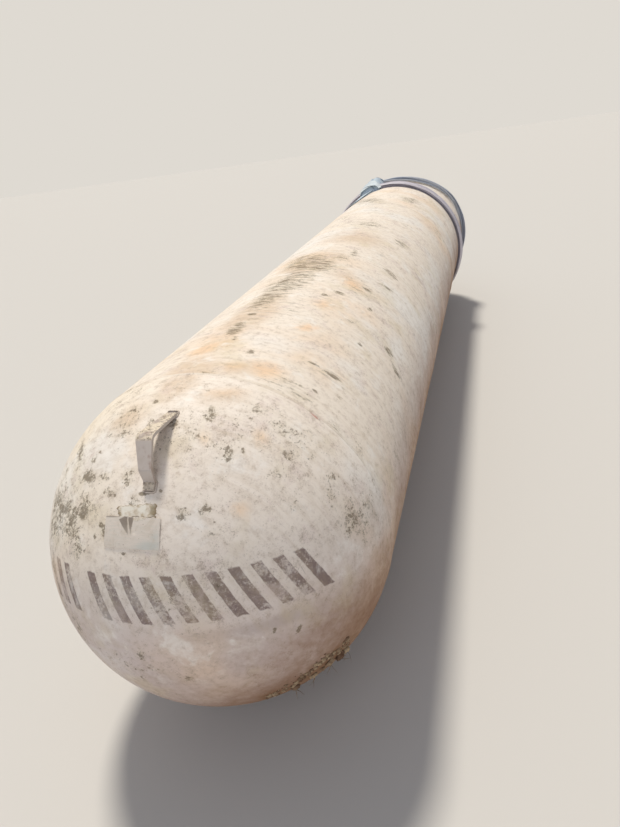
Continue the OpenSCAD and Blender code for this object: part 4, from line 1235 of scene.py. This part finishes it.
def round_far_end(s, across, high):
    """Round the far end: the path leaves the knot on the shell and climbs on to the head."""
    angle = loop_angle(s)
    near = angle - 2 * math.pi if angle > math.pi + KNOT_MIDDLE else angle
    u = min(max((abs(near - KNOT_MIDDLE) - KNOT_HALF) / OUTER_SWEEP, 0), 1)
    along = outer_knot + (OUTER_PAST - outer_knot) * u * u * (3 - 2 * u) + across
    tip, r = max(along, 0) / SHELL_RADIUS, SHELL_RADIUS + high
    flat = r * math.cos(tip)
    return Vector((flat * math.sin(angle), FAR_SEAM + min(along, 0) + r * math.sin(tip),
                   AXIS_HEIGHT + flat * math.cos(angle)))


def drift(s, seed, rate, size):
    """A slow wander either way, of up to about the size."""
    return size * noise.noise((s * rate, seed, 0.5))


THICK, OUTER_THICK = 0.0042, 0.0056
inner_loop = Webbing("inner_loop", webbing_violet, "webbing_violet")
# Each layer as its place across, its height, its roll, its gathering, its half width and its tone
INNER_LAYERS = (
    (0.000, 0.0030, 0.00, 0.00, 0.057, 0.10), (0.005, 0.0095, 0.04, 0.15, 0.053, 0.35),
    (-0.007, 0.0165, 0.07, 0.28, 0.048, 0.60), (-0.014, 0.0245, 0.12, 0.42, 0.040, 0.85),
    (0.020, 0.0275, 0.16, 0.45, 0.030, 0.50))
for seed, (offset, lift, roll, gather, half, tone) in enumerate(INNER_LAYERS):
    def layer(s, seed=seed * 3, offset=offset, lift=lift, roll=roll, gather=gather):
        return (offset + drift(s, seed + 1, 2, 0.4 * lift), lift, drift(s, seed + 2, 3, roll),
                gather)
    inner_loop.strip(LOOP_LENGTH, round_shell, layer, half, THICK, tone)
inner_loop.replace("sling_inner_loop")

outer_loop = Webbing("outer_loop", webbing_blue, "webbing_blue")
# Each strand as the angle it starts at in the bunch, its half width and its tone
OUTER_STRANDS = ((0.0, 0.024, 0.10), (1.3, 0.020, 0.35), (2.5, 0.019, 0.55), (3.8, 0.018, 0.80),
                 (5.1, 0.016, 0.45))
for phase, half, tone in OUTER_STRANDS:
    def strand(s, phase=phase, seed=phase * 7 + 1):
        turn = phase + 3.6 * s + 1.5 * noise.noise((s * 1.5, seed, 0))
        return (0.020 * math.cos(turn), 0.0221 + 0.0115 * math.sin(turn),
                0.6 * math.cos(turn + 0.6), 0.55)
    outer_loop.strip(LOOP_LENGTH, round_far_end, strand, half, OUTER_THICK, tone, columns=12)
outer_loop.replace("sling_outer_loop")

# Sling knot and tail
# The two loops are hitched over each other in a bunch of folds, bleached pale by the weather, and
# the free tail lies down along the shell with its end frayed.
KNOT_HIGH = 0.088
KNOT_SIDE = 0.0471
KNOT_LEAN = 0.35
FOLDS, FOLD_DEPTH, FOLD_SKEW = 4, 0.20, math.radians(110)


def knot_point(u, v, high):
    """u from -1 at the knot's left side to 1, and v from 0 at its near end to 1."""
    return on_shell(KNOT_MIDDLE + KNOT_HALF * u, KNOT_Y + KNOT_LENGTH * v, high)


def knot_rise(u, v):
    """The height of the folds over the steel, highest a little to the knot's right."""
    lean = u - KNOT_LEAN * (1 - u * u)
    swell = KNOT_SIDE + (KNOT_HIGH - KNOT_SIDE) * (1 - lean * lean) * (1 - (2 * v - 1) ** 4)
    return swell * (1 - FOLD_DEPTH * (1 - math.cos(2 * math.pi * FOLDS * v + FOLD_SKEW * u)) / 2)


def crease(u, v, seed):
    """Ridges and sharp creases that run across the knot on a slant."""
    bend = noise.noise((u * 1.2, v * 3, seed))
    ridge = 1 - abs(math.sin(14 * v + 2.4 * u + 3.5 * bend + seed))
    return ridge ** 2.2


knot = Webbing("knot", webbing_pale, "webbing_pale")


def bunch(u, v):
    """The body of the knot, tucked down at its rim."""
    u, edge = 2 * u - 1, min(u, 1 - u, v, 1 - v)
    rim = min(edge * 9, 1) ** 0.45
    high = knot_rise(u, v) * 0.93 - 0.013 * crease(u, v, 2.0) - 0.006 * crease(-u, v * 1.7, 5.0)
    high += 0.004 * noise.noise((u * 4, v * 9, 7))
    return knot_point(u * (0.93 + 0.05 * rim), 0.02 + 0.96 * v, max(high, 0.012) * rim - 0.0006)


# The tone is darker along the sharp creases: painted shade
knot.sheet(110, 56, bunch, lambda u, v: 0.42 - 0.55 * crease(2 * u - 1, v, 2.0)
           + 0.30 * noise.noise((u * 3, v * 6, 2)))


def knot_strap(start, end, half, lift, tone, gather, turns=0.0):
    """A strap over the knot from one (u, v) to another, tucked down at both of its ends."""
    start, end = Vector(start), Vector(end)
    scale = Vector((KNOT_HALF * SHELL_RADIUS, KNOT_LENGTH))
    run = (end - start) * scale
    length, seed = run.length, knot.dice.uniform(0, 50)
    side = Vector((-run.y, run.x)) / length

    def place_at(s, across, high):
        p = start.lerp(end, s / length)
        u, v = p.x + side.x * across / scale.x, p.y + side.y * across / scale.y
        tuck = min(s, length - s) / 0.035
        base = knot_rise(max(-1, min(1, u)), max(0, min(1, v))) * 0.90
        down = 1 - min(tuck, 1)
        return knot_point(u, v, max(base * (1 - down * down * 0.75) + high - 0.004, 0.001))
    knot.strip(length, place_at, lambda s: (drift(s, seed, 9, 0.006), lift,
                                            turns * math.sin(3 * s / length), gather),
               half, THICK, tone, columns=12, pitch=0.006)


knot_strap((-1.0, 0.10), (1.0, 0.16), 0.036, 0.004, 1.05, 0.05)
knot_strap((-0.95, 0.24), (1.0, 0.02), 0.026, 0.009, 0.80, 0.15)
knot_strap((-1.0, 0.42), (1.0, 0.55), 0.030, 0.003, 0.45, 0.35)
knot_strap((-0.9, 0.78), (0.9, 0.34), 0.027, 0.007, 0.62, 0.30, 0.2)
knot_strap((-0.85, 0.60), (1.0, 0.86), 0.028, 0.003, 0.30, 0.35)
knot_strap((0.35, 0.98), (-0.35, 0.62), 0.024, 0.006, 0.55, 0.45, 0.3)
knot.replace("sling_knot")

tail = Webbing("tail", webbing_pale, "webbing_pale")
tail_low, tail_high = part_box("sling_tail")
TAIL_LENGTH = tail_high[1] - tail_low[1]
TAIL_DRIFT = math.radians(11)
TAIL_THICK = 0.0034
THREADS, THREAD_HALF, THREAD_THICK = 64, 0.0007, 0.0008


def down_tail(s, across, high):
    """Down the shell from under the knot, drifting to the left."""
    angle = KNOT_MIDDLE - TAIL_DRIFT * s / TAIL_LENGTH + across / SHELL_RADIUS
    return on_shell(angle, KNOT_Y + 0.010 - s, high)


tail.strip(TAIL_LENGTH - 0.022, down_tail,
           lambda s: (drift(s, 9, 5, 0.006), 0.0032, 0, 0.10), 0.037, TAIL_THICK, 0.30)


def upper_layer(s):
    """Gathered where it leaves the knot, and flat at its end."""
    flat = min(1, max(0, (s - 0.10) / 0.15))
    return (0.004 + drift(s, 11, 6, 0.010), 0.0088 - 0.0016 * flat, drift(s, 12, 6, 0.10),
            0.5 - 0.45 * flat)


tail.strip(TAIL_LENGTH - 0.034, down_tail, upper_layer, 0.033, TAIL_THICK, 0.55)
# The cut end has come apart into threads
start = TAIL_LENGTH - 0.024
for i in range(THREADS):
    t = tail.dice.uniform(-0.9, 0.9)
    reach = tail.dice.uniform(0.012, 0.026)
    slant, rise = tail.dice.uniform(-0.25, 0.25), tail.dice.uniform(0, 0.005)
    tail.strip(reach, lambda s, across, high: down_tail(start + s, 0.034 * t + slant * s + across,
                                                        0.0028 + rise * s / reach + high),
               lambda s: (0, 0.0008, 0, 0), THREAD_HALF, THREAD_THICK, 1.1, columns=1, pitch=0.006)
tail.replace("sling_tail")

# Dried mud
# Clods and crumbs of clay with bits of root. They dried on to the near head low on its right side,
# where the tank had sunk into soft earth.
# The trail of crumbs in pixels, and the lumps as their place in pixels, size and tone
MUD_TRAIL = ((268, 699), (282, 695), (297, 686), (306, 679), (316, 671), (327, 662), (337, 655),
             (347, 651), (352, 640))
MUD_LUMPS = ((295, 686, 0.014, 0.1), (313, 674.5, 0.012, 0.6), (329, 661.5, 0.014, 0.4),
             (339, 654.5, 0.019, 0.0), (345, 649, 0.015, 0.9), (322, 668, 0.010, 0.3))
clay, place = start_material("dried_mud")
CLAY_DARK, CLAY_PALE, GRIT_BROWN = srgb(98, 70, 50), srgb(178, 156, 126), srgb(84, 60, 44)
dark = add(clay.node_tree, "Attribute", attribute_name="tone")["Fac"]
grit = cloud(place, 130, 6, 0.75)
colour = mix(fade(total(dark, (grit, 0.8)), 0.25, 1.35), CLAY_DARK, CLAY_PALE)
colour = mix(fade(cloud(place, 420, 3), 0.52, 0.66, 0, 0.6), colour, GRIT_BROWN)
finish_surface(colour, total((grit, 0.2), 0.8), grit, 0.0015, 0.9)
dice = random.Random("mud")
vertices, faces, tones = [], [], []


def clod(point, outward, size, tone, flat=0.55, rows=9, columns=14):
    """A lump that sits on the head, roughened at two sizes."""
    faces.extend(grid_faces(rows + 1, columns, len(vertices), closed_columns=True))
    one = outward.orthogonal().normalized()
    one.rotate(Matrix.Rotation(dice.uniform(0, 6.28), 3, outward))
    two, shape = outward.cross(one), dice.uniform(0.6, 1.0)
    phase = Vector((dice.uniform(0, 90), 0, 0))
    for row in range(rows + 1):
        tilt = math.pi * row / rows
        for column in range(columns):
            turn = 2 * math.pi * column / columns
            way = Vector((math.sin(tilt) * math.cos(turn), math.sin(tilt) * math.sin(turn) * shape,
                          math.cos(tilt) * flat))
            rough = 1 + 0.45 * noise.noise(way * 1.9 + phase)
            rough += 0.22 * noise.noise(way * 5.3 + phase)
            way *= size * rough
            high = way.z + size * flat * 0.3
            vertices.append(point + one * way.x + two * way.y + outward * high)
            tones.append(tone + 0.3 * noise.noise(way * 90 + phase))


# The crumbs between one place of the trail and the next
CRUMBS = 34
for x, y, size, tone in MUD_LUMPS:
    clod(*seen_at(x, y), size, tone)
for start, end in zip(MUD_TRAIL, MUD_TRAIL[1:]):
    for _ in range(CRUMBS):
        u, spread = dice.random(), dice.gauss(0, 3.0)
        found = seen_at(start[0] + u * (end[0] - start[0]) - 1.5 - abs(spread),
                        start[1] + u * (end[1] - start[1]) - 1.5 + spread * 0.4)
        if found:
            clod(*found, 0.0014 + 0.0070 * dice.random() ** 3, dice.uniform(-0.1, 0.8), 0.45, 6, 8)
# Bits of root hang out of the larger lumps
ROOT_TONE, ROOT_STEPS, ROOT_STEP, ROOT_SIDES = 0.3, 9, 0.0042, 5
for x, y, size, _ in MUD_LUMPS[:5] * 2:
    point, outward = seen_at(x, y)
    way = Vector((dice.uniform(-0.5, 0.5), dice.uniform(-0.4, 0.4), -1.2))
    way = (outward + way).normalized()
    point, thick = point + outward * size * 0.4, dice.uniform(0.0008, 0.0015)
    faces += grid_faces(ROOT_STEPS + 1, ROOT_SIDES, len(vertices), closed_columns=True)
    for i in range(ROOT_STEPS + 1):
        side = way.orthogonal().normalized()
        beside = way.cross(side)
        for k in range(ROOT_SIDES):
            angle = 2 * math.pi * k / ROOT_SIDES
            vertices.append(point + (side * math.cos(angle) + beside * math.sin(angle))
                            * thick * (1.05 - i / ROOT_STEPS))
            tones.append(ROOT_TONE)
        bend = Vector((dice.gauss(0, 0.25), dice.gauss(0, 0.25), dice.gauss(-0.05, 0.2)))
        way = (way + bend).normalized()
        point = point + way * ROOT_STEP
mud = mesh_piece("dried_mud", vertices, faces, clay, "head_paint")
mud.data.attributes.new("tone", "FLOAT", "POINT").data.foreach_set("value", tones)
